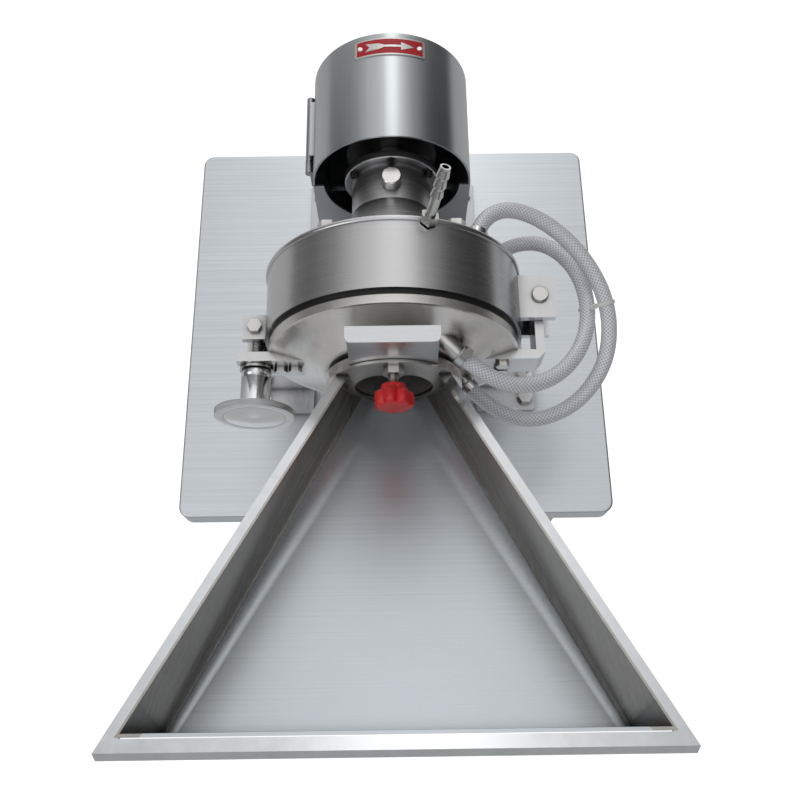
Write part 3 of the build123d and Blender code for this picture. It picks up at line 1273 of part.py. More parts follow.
# Open barbed nozzle on top of the housing's flare, leaning back and to the right.
NOZZLE_AT = (33.0, PLATE_FRONT + 200.0, PLATE_TOP + 322.0)
NOZZLE_WAY = (0.25, 0.42, 0.87)
nozzle_plane = Plane(origin=NOZZLE_AT, z_dir=NOZZLE_WAY)
with BuildPart() as water_nozzle:
    with BuildSketch(Plane(nozzle_plane.origin, x_dir=nozzle_plane.x_dir, z_dir=nozzle_plane.z_dir)):
        RegularPolygon(9, 6)
    extrude(amount=12)
    with BuildSketch(nozzle_plane.offset(12)):
        Circle(5)
    extrude(amount=50)
    with BuildSketch(nozzle_plane.offset(32)):
        Circle(6.2)
    extrude(amount=7, taper=8)
    with BuildSketch(nozzle_plane.offset(42)):
        Circle(6.2)
    extrude(amount=7, taper=8)
    with BuildSketch(nozzle_plane.offset(52)):
        Circle(6.2)
    extrude(amount=8, taper=8)
    with BuildSketch(nozzle_plane.offset(62)):
        Circle(3.4)
    extrude(amount=-56, mode=Mode.SUBTRACT)
    with BuildSketch(Plane.XZ.offset(-(DRUM_BACK + 0.1))):
        with Locations((0, AXIS_Z)):
            Circle(DRUM_R + 2)
    extrude(amount=40, mode=Mode.SUBTRACT)
    with BuildSketch(Plane.XZ.offset(-PLATE_BACK)):
        with Locations((0, AXIS_Z)):
            Circle(DRUM_R - 12)
    extrude(amount=PLATE_D, mode=Mode.SUBTRACT)
water_nozzle.part.label = "water_nozzle"
export_step(water_nozzle.part, "parts/water_nozzle.step")

# Hose barbs: short round collars that the hoses push on to, two behind the drum and two on the door's cone.
HOSE_R = 8.0
BARB_R = 8.6
BARB_1 = (83.0, PLATE_FRONT + 214.0, PLATE_TOP + 272.0)
BARB_2 = (95.0, PLATE_FRONT + 214.0, PLATE_TOP + 142.0)
BARB_3 = (62.0, PLATE_FRONT + 97.0, PLATE_TOP + 262.0)
BARB_4 = (75.0, PLATE_FRONT + 96.5, PLATE_TOP + 179.0)
HOSE_A = [
    BARB_1,
    (88.0, PLATE_FRONT + 237.0, PLATE_TOP + 269.0),
    (118.0, PLATE_FRONT + 255.0, PLATE_TOP + 265.0),
    (161.0, PLATE_FRONT + 243.0, PLATE_TOP + 252.0),
    (200.0, PLATE_FRONT + 208.0, PLATE_TOP + 236.0),
    (223.0, PLATE_FRONT + 163.0, PLATE_TOP + 216.0),
    (220.0, PLATE_FRONT + 112.0, PLATE_TOP + 196.0),
    (188.0, PLATE_FRONT + 71.0, PLATE_TOP + 180.0),
    (139.0, PLATE_FRONT + 55.0, PLATE_TOP + 172.0),
    (98.0, PLATE_FRONT + 71.0, PLATE_TOP + 175.5),
    BARB_4,
]
HOSE_B = [
    BARB_3,
    (84.0, PLATE_FRONT + 79.0, PLATE_TOP + 251.0),
    (122.0, PLATE_FRONT + 69.0, PLATE_TOP + 237.0),
    (164.0, PLATE_FRONT + 86.0, PLATE_TOP + 224.0),
    (195.0, PLATE_FRONT + 127.0, PLATE_TOP + 213.0),
    (204.0, PLATE_FRONT + 178.0, PLATE_TOP + 208.0),
    (190.0, PLATE_FRONT + 226.0, PLATE_TOP + 204.0),
    (159.0, PLATE_FRONT + 258.0, PLATE_TOP + 192.0),
    (122.0, PLATE_FRONT + 264.0, PLATE_TOP + 166.0),
    (99.0, PLATE_FRONT + 243.0, PLATE_TOP + 145.0),
    BARB_2,
]
FIRST_A = Vector(*HOSE_A[1]) - Vector(*HOSE_A[0])
LAST_B = Vector(*HOSE_B[-2]) - Vector(*HOSE_B[-1])
FIRST_B = Vector(*HOSE_B[1]) - Vector(*HOSE_B[0])
LAST_A = Vector(*HOSE_A[-2]) - Vector(*HOSE_A[-1])
with BuildPart() as drum_barbs:
    with BuildSketch(Plane(origin=BARB_1, z_dir=FIRST_A)):
        Circle(BARB_R)
    extrude(amount=-16)
    with BuildSketch(Plane(origin=BARB_2, z_dir=LAST_B)):
        Circle(BARB_R)
    extrude(amount=-16)
    with BuildSketch(Plane.XZ.offset(-DRUM_BACK)):
        with Locations((0, AXIS_Z)):
            Rectangle(400, 400)
    extrude(amount=40, mode=Mode.SUBTRACT)
drum_barbs.part.label = "drum_barbs"
export_step(drum_barbs.part, "parts/drum_barbs.step")

with BuildPart() as door_barbs:
    with BuildSketch(Plane(origin=BARB_3, z_dir=FIRST_B)):
        Circle(BARB_R)
    extrude(amount=-24)
    with BuildSketch(Plane(origin=BARB_4, z_dir=LAST_A)):
        Circle(BARB_R)
    extrude(amount=-24)
    with BuildSketch(Plane.YZ):
        with BuildLine():
            Polyline(
                (RIM_BACK + 60, AXIS_Z),
                (RIM_BACK + 60, AXIS_Z + RIM_R - 3),
                (RIM_FRONT, AXIS_Z + RIM_R - 3),
                (CONE_END, AXIS_Z + NECK_R),
                (FLANGE_BACK, AXIS_Z + NECK_R),
                (FLANGE_BACK, AXIS_Z),
                close=True,
            )
        make_face()
    revolve(axis=MILL_AXIS, mode=Mode.SUBTRACT)
    with BuildSketch(Plane.XZ.offset(-FLANGE_BACK)):
        with Locations((0, AXIS_Z)):
            Circle(FLANGE_R)
    extrude(amount=30, mode=Mode.SUBTRACT)
door_barbs.part.label = "door_barbs"
export_step(door_barbs.part, "parts/door_barbs.step")

# Two free cooling hoses from the drum round to the door, each a chain of runs joined by arcs.
for name, points in (("hose_a", HOSE_A), ("hose_b", HOSE_B)):
    corners = [Vector(*p) for p in points]
    radii = []
    for before, here, after in zip(corners, corners[1:], corners[2:]):
        turn = math.radians((here - before).get_angle(after - here))
        radii.append(0.45 * min((here - before).length, (after - here).length) / math.tan(turn / 2))
    print(name, "radii", [round(r, 1) for r in radii])
    with BuildPart() as hose:
        with BuildLine() as route:
            FilletPolyline(*corners, radius=radii)
        with BuildSketch(Plane(origin=corners[0], z_dir=corners[1] - corners[0])):
            Circle(HOSE_R)
        sweep(path=route.line)
    length = sum(edge.length for edge in route.edges())
    print(name, "length", round(length, 1), "volume ratio", round(hose.part.volume / (math.pi * HOSE_R**2 * length), 4))
    hose.part.label = name
    export_step(hose.part, "parts/" + name + ".step")

# Worm-drive clamps: a band round each hose end, with its screw housing.
CLAMP_R = 10.4
with BuildPart() as drum_clamps:
    with BuildSketch(Plane(origin=BARB_1, z_dir=FIRST_A).offset(1.5)):
        Circle(CLAMP_R)
        with Locations((0, 10.5)):
            Rectangle(13, 7)
        Circle(HOSE_R + 0.1, mode=Mode.SUBTRACT)
    extrude(amount=7)
    with BuildSketch(Plane(origin=BARB_2, z_dir=LAST_B).offset(1.5)):
        Circle(CLAMP_R)
        with Locations((0, 10.5)):
            Rectangle(13, 7)
        Circle(HOSE_R + 0.1, mode=Mode.SUBTRACT)
    extrude(amount=7)
drum_clamps.part.label = "drum_clamps"
export_step(drum_clamps.part, "parts/drum_clamps.step")

with BuildPart() as door_clamps:
    with BuildSketch(Plane(origin=BARB_3, z_dir=FIRST_B).offset(1.5)):
        Circle(CLAMP_R)
        with Locations((0, 10.5)):
            Rectangle(13, 7)
        Circle(HOSE_R + 0.1, mode=Mode.SUBTRACT)
    extrude(amount=7)
    with BuildSketch(Plane(origin=BARB_4, z_dir=LAST_A).offset(1.5)):
        Circle(CLAMP_R)
        with Locations((0, 10.5)):
            Rectangle(13, 7)
        Circle(HOSE_R + 0.1, mode=Mode.SUBTRACT)
    extrude(amount=7)
door_clamps.part.label = "door_clamps"
export_step(door_clamps.part, "parts/door_clamps.step")
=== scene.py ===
import math

import bpy
import numpy as np
from mathutils import Matrix, Vector


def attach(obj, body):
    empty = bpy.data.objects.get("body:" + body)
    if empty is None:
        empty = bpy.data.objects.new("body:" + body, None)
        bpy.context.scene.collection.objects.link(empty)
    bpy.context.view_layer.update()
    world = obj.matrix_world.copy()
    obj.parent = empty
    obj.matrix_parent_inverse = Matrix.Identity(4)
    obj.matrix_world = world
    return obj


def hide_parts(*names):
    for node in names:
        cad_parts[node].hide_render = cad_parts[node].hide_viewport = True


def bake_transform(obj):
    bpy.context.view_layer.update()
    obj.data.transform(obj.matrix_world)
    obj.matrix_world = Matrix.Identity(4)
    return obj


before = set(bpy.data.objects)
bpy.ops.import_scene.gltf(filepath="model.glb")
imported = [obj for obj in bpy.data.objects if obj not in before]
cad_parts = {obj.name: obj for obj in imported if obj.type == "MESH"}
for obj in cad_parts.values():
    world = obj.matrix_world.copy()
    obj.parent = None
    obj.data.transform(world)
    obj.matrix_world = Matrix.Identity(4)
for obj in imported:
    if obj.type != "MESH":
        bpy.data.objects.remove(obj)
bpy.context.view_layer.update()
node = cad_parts

# Camera: it stands above and in front of the hopper and looks steeply down on the mill, as in the photograph.
# The lens is close to a normal one, and the camera leans a fraction of a degree to the side.
camera_data = bpy.data.cameras.new("camera")
camera_data.lens = 39.86
camera_data.sensor_width = 36.0
camera_data.clip_end = 50.0
camera = bpy.data.objects.new("camera", camera_data)
heading = Matrix.Rotation(math.radians(-0.36), 4, "Z")
lean = Matrix.Rotation(math.radians(20.17), 4, "X") @ Matrix.Rotation(math.radians(-0.4), 4, "Z")
camera.matrix_world = Matrix.Translation((0.0040, -0.363, 1.8779)) @ heading @ lean
bpy.context.collection.objects.link(camera)
bpy.context.scene.camera = camera
bpy.context.scene.view_settings.view_transform = "Standard"

# Studio: a floor and a backdrop that look white to the camera, and a room that only the steel reflects.
# The room is bright overhead and behind, dimmer on the left and darkest on the right. Two lamps add highlights.
floor_mesh = bpy.data.meshes.new("floor")
floor_mesh.from_pydata([(-6, -6, 0), (6, -6, 0), (6, 6, 0), (-6, 6, 0)], [], [(0, 1, 2, 3)])
floor = bpy.data.objects.new("floor", floor_mesh)
bpy.context.collection.objects.link(floor)
floor_paint = bpy.data.materials.new("studio_floor")
floor_paint.use_nodes = True
floor_shader = floor_paint.node_tree.nodes["Principled BSDF"]
floor_shader.inputs["Base Color"].default_value = (0.40, 0.40, 0.40, 1)
floor_shader.inputs["Roughness"].default_value = 0.9
floor_shader.inputs["Specular IOR Level"].default_value = 0.1
floor_shader.inputs["Emission Color"].default_value = (1.0, 1.0, 1.0, 1)
floor_path = floor_paint.node_tree.nodes.new("ShaderNodeLightPath")
floor_glow = floor_paint.node_tree.nodes.new("ShaderNodeMapRange")
floor_glow.inputs["To Min"].default_value = 0.20
floor_glow.inputs["To Max"].default_value = 0.95
floor_paint.node_tree.links.new(floor_path.outputs["Is Camera Ray"], floor_glow.inputs["Value"])
floor_paint.node_tree.links.new(floor_glow.outputs["Result"], floor_shader.inputs["Emission Strength"])
floor_mesh.materials.append(floor_paint)

world = bpy.data.worlds.new("studio")
world.use_nodes = True
bpy.context.scene.world = world
sky = world.node_tree
sky_coord = sky.nodes.new("ShaderNodeTexCoord")
sky_split = sky.nodes.new("ShaderNodeSeparateXYZ")
sky.links.new(sky_coord.outputs["Generated"], sky_split.inputs[0])


def sky_band(axis, stops):
    """Brightness of the room along one axis, given as pairs of a direction from -1 to 1 and a value."""
    place = sky.nodes.new("ShaderNodeMapRange")
    place.inputs["From Min"].default_value = -1.0
    place.inputs["From Max"].default_value = 1.0
    sky.links.new(sky_split.outputs[axis], place.inputs["Value"])
    ramp = sky.nodes.new("ShaderNodeValToRGB")
    ramp.color_ramp.interpolation = "EASE"
    points = ramp.color_ramp.elements
    for where, _ in stops[1:-1]:
        points.new((where + 1) / 2)
    for point, (where, value) in zip(points, stops):
        point.position = (where + 1) / 2
        point.color = (value, value, value, 1)
    sky.links.new(place.outputs["Result"], ramp.inputs["Fac"])
    return ramp.outputs["Color"]


overhead = sky_band("Z", ((-1, 0.5), (0, 0.30), (0.2, 0.22), (0.45, 0.36), (0.7, 0.70), (1, 0.88)))
behind = sky_band("Y", ((-1, 0.0), (0.3, 0.0), (0.55, 0.20), (0.72, 0.75), (0.88, 1.0), (1, 1.0)))
left_half = ((-1, 0.42), (-0.7, 0.5), (-0.3, 0.8), (0, 1.0))
right_half = ((0.2, 0.92), (0.45, 0.42), (0.7, 0.15), (1, 0.15))
sideways = sky_band("X", left_half + right_half)
brighter = sky.nodes.new("ShaderNodeVectorMath")
brighter.operation = "MAXIMUM"
sky.links.new(overhead, brighter.inputs[0])
sky.links.new(behind, brighter.inputs[1])
room = sky.nodes.new("ShaderNodeVectorMath")
room.operation = "MULTIPLY"
sky.links.new(brighter.outputs[0], room.inputs[0])
sky.links.new(sideways, room.inputs[1])
sky_path = sky.nodes.new("ShaderNodeLightPath")
backdrop = sky.nodes.new("ShaderNodeVectorMath")
backdrop.operation = "MAXIMUM"
sky.links.new(room.outputs[0], backdrop.inputs[0])
sky.links.new(sky_path.outputs["Is Camera Ray"], backdrop.inputs[1])
sky.links.new(backdrop.outputs[0], sky.nodes["Background"].inputs["Color"])
sky.nodes["Background"].inputs["Strength"].default_value = 1.0


def soft_lamp(name, place, aim, width, height, power):
    """A rectangular studio lamp at a place, turned to face the aim."""
    data = bpy.data.lights.new(name, "AREA")
    data.shape = "RECTANGLE"
    data.size = width
    data.size_y = height
    data.energy = power
    lamp = bpy.data.objects.new(name, data)
    lamp.location = place
    lamp.rotation_euler = (Vector(aim) - Vector(place)).to_track_quat("-Z", "Y").to_euler()
    bpy.context.collection.objects.link(lamp)


soft_lamp("key_left", (-2.2, -1.2, 3.0), (0, 0, 0.9), 1.6, 1.6, 9)
soft_lamp("back_top", (0.1, 2.4, 3.2), (0, 0.1, 1.0), 0.7, 1.2, 2.2)


# Cabinet, top plate and the guard's lower box: stainless sheet, ground in one direction and folded at the
# edges. The lines run left to right on the plate and upright on the panels and the box.
def grinding_lines():
    """Node group: fine streaks from noise stretched on Object coordinates, slow cloudy patches, painted shade
    in corners.
    Three quarters of the pattern are streaks and one quarter is clouds. Only the streaks raise the surface."""
    group = bpy.data.node_groups.new("grinding_lines", "ShaderNodeTree")
    for name, kind in (
        ("Stretch", "NodeSocketVector"),
        ("Colour", "NodeSocketColor"),
        ("Streak", "NodeSocketFloat"),
        ("Rough Low", "NodeSocketFloat"),
        ("Rough High", "NodeSocketFloat"),
        ("Depth", "NodeSocketFloat"),
    ):
        group.interface.new_socket(name, in_out="INPUT", socket_type=kind)
    for name, kind in (
        ("Colour", "NodeSocketColor"),
        ("Roughness", "NodeSocketFloat"),
        ("Normal", "NodeSocketVector"),
    ):
        group.interface.new_socket(name, in_out="OUTPUT", socket_type=kind)
    nodes, links = group.nodes, group.links
    entry, leave = nodes.new("NodeGroupInput"), nodes.new("NodeGroupOutput")
    coord = nodes.new("ShaderNodeTexCoord")
    stretch = nodes.new("ShaderNodeVectorMath")
    stretch.operation = "MULTIPLY"
    links.new(coord.outputs["Object"], stretch.inputs[0])
    links.new(entry.outputs["Stretch"], stretch.inputs[1])
    streak = nodes.new("ShaderNodeTexNoise")
    streak.inputs["Scale"].default_value = 1.0
    streak.inputs["Detail"].default_value = 5.0
    streak.inputs["Roughness"].default_value = 0.65
    links.new(stretch.outputs[0], streak.inputs["Vector"])
    cloud = nodes.new("ShaderNodeTexNoise")
    cloud.inputs["Scale"].default_value = 9.0
    cloud.inputs["Detail"].default_value = 3.0
    links.new(coord.outputs["Object"], cloud.inputs["Vector"])
    both = nodes.new("ShaderNodeMath")
    both.operation = "MULTIPLY_ADD"
    both.inputs[1].default_value = 0.75
    links.new(streak.outputs["Fac"], both.inputs[0])
    quarter = nodes.new("ShaderNodeMath")
    quarter.operation = "MULTIPLY"
    quarter.inputs[1].default_value = 0.25
    links.new(cloud.outputs["Fac"], quarter.inputs[0])
    links.new(quarter.outputs[0], both.inputs[2])
    rough = nodes.new("ShaderNodeMapRange")
    rough.inputs["From Min"].default_value = 0.3
    rough.inputs["From Max"].default_value = 0.7
    links.new(both.outputs[0], rough.inputs["Value"])
    links.new(entry.outputs["Rough Low"], rough.inputs["To Min"])
    links.new(entry.outputs["Rough High"], rough.inputs["To Max"])
    centre = nodes.new("ShaderNodeMath")
    centre.operation = "SUBTRACT"
    centre.inputs[1].default_value = 0.5
    links.new(both.outputs[0], centre.inputs[0])
    shade = nodes.new("ShaderNodeMath")
    shade.operation = "MULTIPLY_ADD"
    shade.inputs[2].default_value = 1.0
    links.new(centre.outputs[0], shade.inputs[0])
    links.new(entry.outputs["Streak"], shade.inputs[1])
    tint = nodes.new("ShaderNodeVectorMath")
    tint.operation = "SCALE"
    links.new(entry.outputs["Colour"], tint.inputs[0])
    links.new(shade.outputs[0], tint.inputs["Scale"])
    bump = nodes.new("ShaderNodeBump")
    bump.inputs["Distance"].default_value = 0.0004
    links.new(entry.outputs["Depth"], bump.inputs["Strength"])
    links.new(streak.outputs["Fac"], bump.inputs["Height"])
    # Painted shade: ambient occlusion darkens the colour in corners, creases and between parts, to as little as
    # 0.3 of it.
    corners = nodes.new("ShaderNodeAmbientOcclusion")
    corners.samples = 8
    corners.inputs["Distance"].default_value = 0.014
    painted_corner_shade = nodes.new("ShaderNodeMapRange")
    painted_corner_shade.inputs["From Min"].default_value = 0.35
    painted_corner_shade.inputs["From Max"].default_value = 0.95
    painted_corner_shade.inputs["To Min"].default_value = 0.30
    links.new(corners.outputs["AO"], painted_corner_shade.inputs["Value"])
    corner_shaded_colour = nodes.new("ShaderNodeVectorMath")
    corner_shaded_colour.operation = "SCALE"
    links.new(tint.outputs[0], corner_shaded_colour.inputs[0])
    links.new(painted_corner_shade.outputs["Result"], corner_shaded_colour.inputs["Scale"])
    links.new(corner_shaded_colour.outputs[0], leave.inputs["Colour"])
    links.new(rough.outputs["Result"], leave.inputs["Roughness"])
    links.new(bump.outputs["Normal"], leave.inputs["Normal"])
    return group


lines_group = grinding_lines()


def steel(name, colour, low, high, stretch, streak, depth, metallic=1.0):
    """A metal whose colour, roughness and normal come from the grinding lines. The stretch is the noise's
    frequency along X, Y and Z, so that the lines run along the axis with the lowest number."""
    material = bpy.data.materials.new(name)
    material.use_nodes = True
    tree = material.node_tree
    shader = tree.nodes["Principled BSDF"]
    shader.inputs["Metallic"].default_value = metallic
    lines = tree.nodes.new("ShaderNodeGroup")
    lines.node_tree = lines_group
    lines.inputs["Stretch"].default_value = stretch
    lines.inputs["Colour"].default_value = (*colour, 1)
    lines.inputs["Streak"].default_value = streak
    lines.inputs["Rough Low"].default_value = low
    lines.inputs["Rough High"].default_value = high
    lines.inputs["Depth"].default_value = depth
    for output, socket in (("Colour", "Base Color"), ("Roughness", "Roughness"), ("Normal", "Normal")):
        tree.links.new(lines.outputs[output], shader.inputs[socket])
    return material


def dress(names, material):
    """Gives CAD nodes one material in every slot."""
    for name in names:
        mesh = node[name].data
        if not mesh.materials:
            mesh.materials.append(material)
        for index in range(len(mesh.materials)):
            mesh.materials[index] = material


plate_steel = steel("plate_steel", (0.76, 0.80, 0.84), 0.26, 0.40, (2.2, 420, 420), 0.55, 0.06)
panel_steel = steel("panel_steel", (0.64, 0.65, 0.68), 0.30, 0.44, (1500, 1500, 3), 0.3, 0.06)
dress(["top_plate"], plate_steel)
dress(["cabinet_front", "cabinet_rear", "cabinet_sides", "base_pan", "motor_shelf"], panel_steel)
guard_box_steel = steel("guard_box_steel", (0.62, 0.62, 0.64), 0.28, 0.42, (1500, 1500, 4), 0.3, 0.06)
dress(["guard_base"], guard_box_steel)

# Drum, its feet and lugs: a rolled stainless shell, ground round its curve, on two bent brackets.
# The back plate, the lugs, the hinge arm and the latch ear are milled. The chute and the spout are sheet.
drum_steel = steel("drum_steel", (0.74, 0.74, 0.75), 0.20, 0.30, (5, 1500, 5), 0.25, 0.04)
dress(["drum_shell", "drum_back_plate"], drum_steel)
bracket_steel = steel("bracket_steel", (0.76, 0.76, 0.77), 0.16, 0.28, (300, 30, 300), 0.3, 0.03)
dress(["drum_feet", "drum_lugs", "hinge_arm", "latch_ear"], bracket_steel)
duct_steel = steel("duct_steel", (0.62, 0.62, 0.65), 0.28, 0.42, (500, 500, 5), 0.35, 0.1)
dress(["discharge_chute", "discharge_spout", "screen_ring"], duct_steel)

# Rotor and fixed pins: stainless discs that carry the pins, ground round their edges, inside the drum.
# The rotor is held on the shaft by its nut, and the ring of fixed pins is seated in the door.
pin_steel = steel("pin_steel", (0.72, 0.70, 0.68), 0.26, 0.38, (6, 500, 6), 0.25, 0.05, 0.9)
dress(["door_pin_plate", "rotor_disc", "rotor_nut"], pin_steel)

# Hopper, gate and guard cover: a folded stainless tray with welded corners and a turned-out rim, brushed
# across its floor. Its sides are the same sheet, but their colour is painted darker, with long dark and light
# streaks that are partly grinding grain and partly a painted reflection of the floor. The gate plate slides in
# front of the throat, and the cover is hinged to the guard's lower box.
tray_steel = steel("tray_steel", (0.69, 0.735, 0.77), 0.36, 0.48, (2.2, 480, 480), 0.5, 0.05, 0.85)
tray_tree = tray_steel.node_tree
floor_lines = next(item for item in tray_tree.nodes if item.bl_idname == "ShaderNodeGroup")
# Painted reflection: the side walls get a darker, warmer colour and strong streaks in place of the dark
# surroundings they mirror. Their low roughness also gives real reflections.
wall_lines_and_painted_reflection = tray_tree.nodes.new("ShaderNodeGroup")
wall_lines_and_painted_reflection.node_tree = lines_group
for socket, value in (
    ("Stretch", (280, 2.0, 280)),
    ("Colour", (0.46, 0.44, 0.41, 1)),
    ("Streak", 0.9),
    ("Rough Low", 0.08),
    ("Rough High", 0.24),
    ("Depth", 0.05),
):
    wall_lines_and_painted_reflection.inputs[socket].default_value = value
# The floor narrows with Y, so a side wall starts where |X| + floor_narrows * Y passes the fold.
floor_narrows = 0.4112
fold_start, fold_end = 0.0155, 0.0175
tray_coord = tray_tree.nodes.new("ShaderNodeTexCoord")
tray_size = tray_tree.nodes.new("ShaderNodeSeparateXYZ")
tray_tree.links.new(tray_coord.outputs["Object"], tray_size.inputs[0])
tray_width = tray_tree.nodes.new("ShaderNodeMath")
tray_width.operation = "ABSOLUTE"
tray_tree.links.new(tray_size.outputs["X"], tray_width.inputs[0])
tray_fold = tray_tree.nodes.new("ShaderNodeMath")
tray_fold.operation = "MULTIPLY_ADD"
tray_fold.inputs[1].default_value = floor_narrows
tray_tree.links.new(tray_size.outputs["Y"], tray_fold.inputs[0])
tray_tree.links.new(tray_width.outputs[0], tray_fold.inputs[2])
tray_mask = tray_tree.nodes.new("ShaderNodeMapRange")
tray_mask.inputs["From Min"].default_value = fold_start
tray_mask.inputs["From Max"].default_value = fold_end
tray_tree.links.new(tray_fold.outputs[0], tray_mask.inputs["Value"])
for output, socket, kind, first, second, result in (
    ("Colour", "Base Color", "RGBA", 6, 7, 2),
    ("Roughness", "Roughness", "FLOAT", 2, 3, 0),
    ("Normal", "Normal", "VECTOR", 4, 5, 1),
):
    join = tray_tree.nodes.new("ShaderNodeMix")
    join.data_type = kind
    tray_tree.links.new(tray_mask.outputs["Result"], join.inputs[0])
    tray_tree.links.new(floor_lines.outputs[output], join.inputs[first])
    tray_tree.links.new(wall_lines_and_painted_reflection.outputs[output], join.inputs[second])
    tray_tree.links.new(join.outputs[result], tray_tree.nodes["Principled BSDF"].inputs[socket])
dress(["hopper_tray"], tray_steel)
rim_steel = steel("rim_steel", (0.72, 0.74, 0.76), 0.16, 0.28, (60, 60, 60), 0.5, 0.06)
dress(["hopper_rim"], rim_steel)
gate_steel = steel("gate_steel", (0.82, 0.83, 0.84), 0.24, 0.36, (5, 1200, 1200), 0.25, 0.05, 0.85)
dress(["gate_plate"], gate_steel)
cover_steel = steel("cover_steel", (0.66, 0.69, 0.71), 0.20, 0.28, (1200, 5, 1200), 0.25, 0.04)
dress(["guard_cover"], cover_steel)

# Bought and machined parts: zinc-plated bolts, barbs and hose clamps, a dark machined bearing housing, cast
# pulleys and ground shafts. They are screwed on, clamped or pressed in.
bolt_steel = steel("bolt_steel", (0.80, 0.79, 0.77), 0.14, 0.28, (260, 260, 260), 0.25, 0.03)
dress(["frame_bolts", "door_screws", "pivot_pins", "levelling_feet"], bolt_steel)
dress(["closing_bolt", "closing_washer", "water_nozzle", "grease_cap"], bolt_steel)
dress(["drum_barbs", "door_barbs", "drum_clamps", "door_clamps"], bolt_steel)
dark_iron = steel("dark_machined_iron", (0.62, 0.62, 0.63), 0.24, 0.44, (9, 500, 9), 0.9, 0.25)
dress(["bearing_housing", "bearing_cap"], dark_iron)
pulley_iron = steel("pulley_iron", (0.16, 0.155, 0.15), 0.30, 0.50, (5, 700, 5), 0.8, 0.2)
dress(["mill_pulley", "motor_pulley"], pulley_iron)
ground_shaft = steel("ground_shaft", (0.55, 0.55, 0.57), 0.15, 0.3, (5, 600, 5), 0.3, 0.05)
dress(["bearings", "mill_shaft", "motor_shaft"], ground_shaft)


# Rubber, moulded and painted parts: the gasket and belts, black screws, buttons and their box, the cable
# gland, and the motor, which is painted all over. They are bolted or pressed on.
def plain(name, colour, rough, coat, grain, depth):
    """A painted, rubber or plastic finish: one fine noise shifts its shade and gloss and grains its surface."""
    material = bpy.data.materials.new(name)
    material.use_nodes = True
    tree = material.node_tree
    shader = tree.nodes["Principled BSDF"]
    shader.inputs["Coat Weight"].default_value = coat
    shader.inputs["Coat Roughness"].default_value = 0.08
    coord = tree.nodes.new("ShaderNodeTexCoord")
    noise = tree.nodes.new("ShaderNodeTexNoise")
    noise.inputs["Scale"].default_value = grain
    tree.links.new(coord.outputs["Object"], noise.inputs["Vector"])
    gloss = tree.nodes.new("ShaderNodeMapRange")
    gloss.inputs["To Min"].default_value = rough - 0.06
    gloss.inputs["To Max"].default_value = rough + 0.10
    tree.links.new(noise.outputs["Fac"], gloss.inputs["Value"])
    tree.links.new(gloss.outputs["Result"], shader.inputs["Roughness"])
    shades = tree.nodes.new("ShaderNodeMix")
    shades.data_type = "RGBA"
    shades.inputs[6].default_value = (*[c * 0.86 for c in colour], 1)
    shades.inputs[7].default_value = (*[min(1.0, c * 1.12 + 0.004) for c in colour], 1)
    tree.links.new(noise.outputs["Fac"], shades.inputs[0])
    tree.links.new(shades.outputs[2], shader.inputs["Base Color"])
    bump = tree.nodes.new("ShaderNodeBump")
    bump.inputs["Strength"].default_value = depth
    bump.inputs["Distance"].default_value = 0.0005
    tree.links.new(noise.outputs["Fac"], bump.inputs["Height"])
    tree.links.new(bump.outputs["Normal"], shader.inputs["Normal"])
    return material


dress(["door_gasket", "v_belts"], plain("black_rubber", (0.012, 0.012, 0.013), 0.45, 0.0, 600, 0.2))
dress(["cap_screws"], plain("blackened_screws", (0.02, 0.02, 0.022), 0.35, 0.1, 700, 0.05))
red_moulding = plain("red_moulding", (0.92, 0.016, 0.022), 0.30, 0.4, 120, 0.04)
dress(["stop_button"], red_moulding)
dress(["start_button"], plain("green_moulding", (0.01, 0.35, 0.06), 0.3, 0.4, 120, 0.04))
black_moulding = plain("black_moulding", (0.02, 0.02, 0.021), 0.5, 0.0, 900, 0.15)
dress(["switch_box", "cable_gland", "motor_fan"], black_moulding)
dress(["motor_frame", "motor_cowl"], plain("motor_paint", (0.10, 0.16, 0.22), 0.4, 0.2, 300, 0.12))

# Cooling hoses: two lengths of clear plastic hose with a woven braid inside, pushed on barbs behind the
# drum and on the door's cone and held by clamps. Their routes are given from the top plate's front edge and
# upper face.
PLATE_FRONT = -0.1275
PLATE_TOP = 0.840
HOSE_RADIUS = 0.008
route_a = [
    (0.083, PLATE_FRONT + 0.214, PLATE_TOP + 0.272),
    (0.088, PLATE_FRONT + 0.237, PLATE_TOP + 0.269),
    (0.118, PLATE_FRONT + 0.255, PLATE_TOP + 0.265),
    (0.161, PLATE_FRONT + 0.243, PLATE_TOP + 0.252),
    (0.200, PLATE_FRONT + 0.208, PLATE_TOP + 0.236),
    (0.223, PLATE_FRONT + 0.163, PLATE_TOP + 0.216),
    (0.220, PLATE_FRONT + 0.112, PLATE_TOP + 0.196),
    (0.188, PLATE_FRONT + 0.071, PLATE_TOP + 0.180),
    (0.139, PLATE_FRONT + 0.055, PLATE_TOP + 0.172),
    (0.098, PLATE_FRONT + 0.071, PLATE_TOP + 0.1755),
    (0.075, PLATE_FRONT + 0.0965, PLATE_TOP + 0.179),
]
route_b = [
    (0.062, PLATE_FRONT + 0.097, PLATE_TOP + 0.262),
    (0.084, PLATE_FRONT + 0.079, PLATE_TOP + 0.251),
    (0.122, PLATE_FRONT + 0.069, PLATE_TOP + 0.237),
    (0.164, PLATE_FRONT + 0.086, PLATE_TOP + 0.224),
    (0.195, PLATE_FRONT + 0.127, PLATE_TOP + 0.213),
    (0.204, PLATE_FRONT + 0.178, PLATE_TOP + 0.208),
    (0.190, PLATE_FRONT + 0.226, PLATE_TOP + 0.204),
    (0.159, PLATE_FRONT + 0.258, PLATE_TOP + 0.192),
    (0.122, PLATE_FRONT + 0.264, PLATE_TOP + 0.166),
    (0.099, PLATE_FRONT + 0.243, PLATE_TOP + 0.145),
    (0.095, PLATE_FRONT + 0.214, PLATE_TOP + 0.142),
]


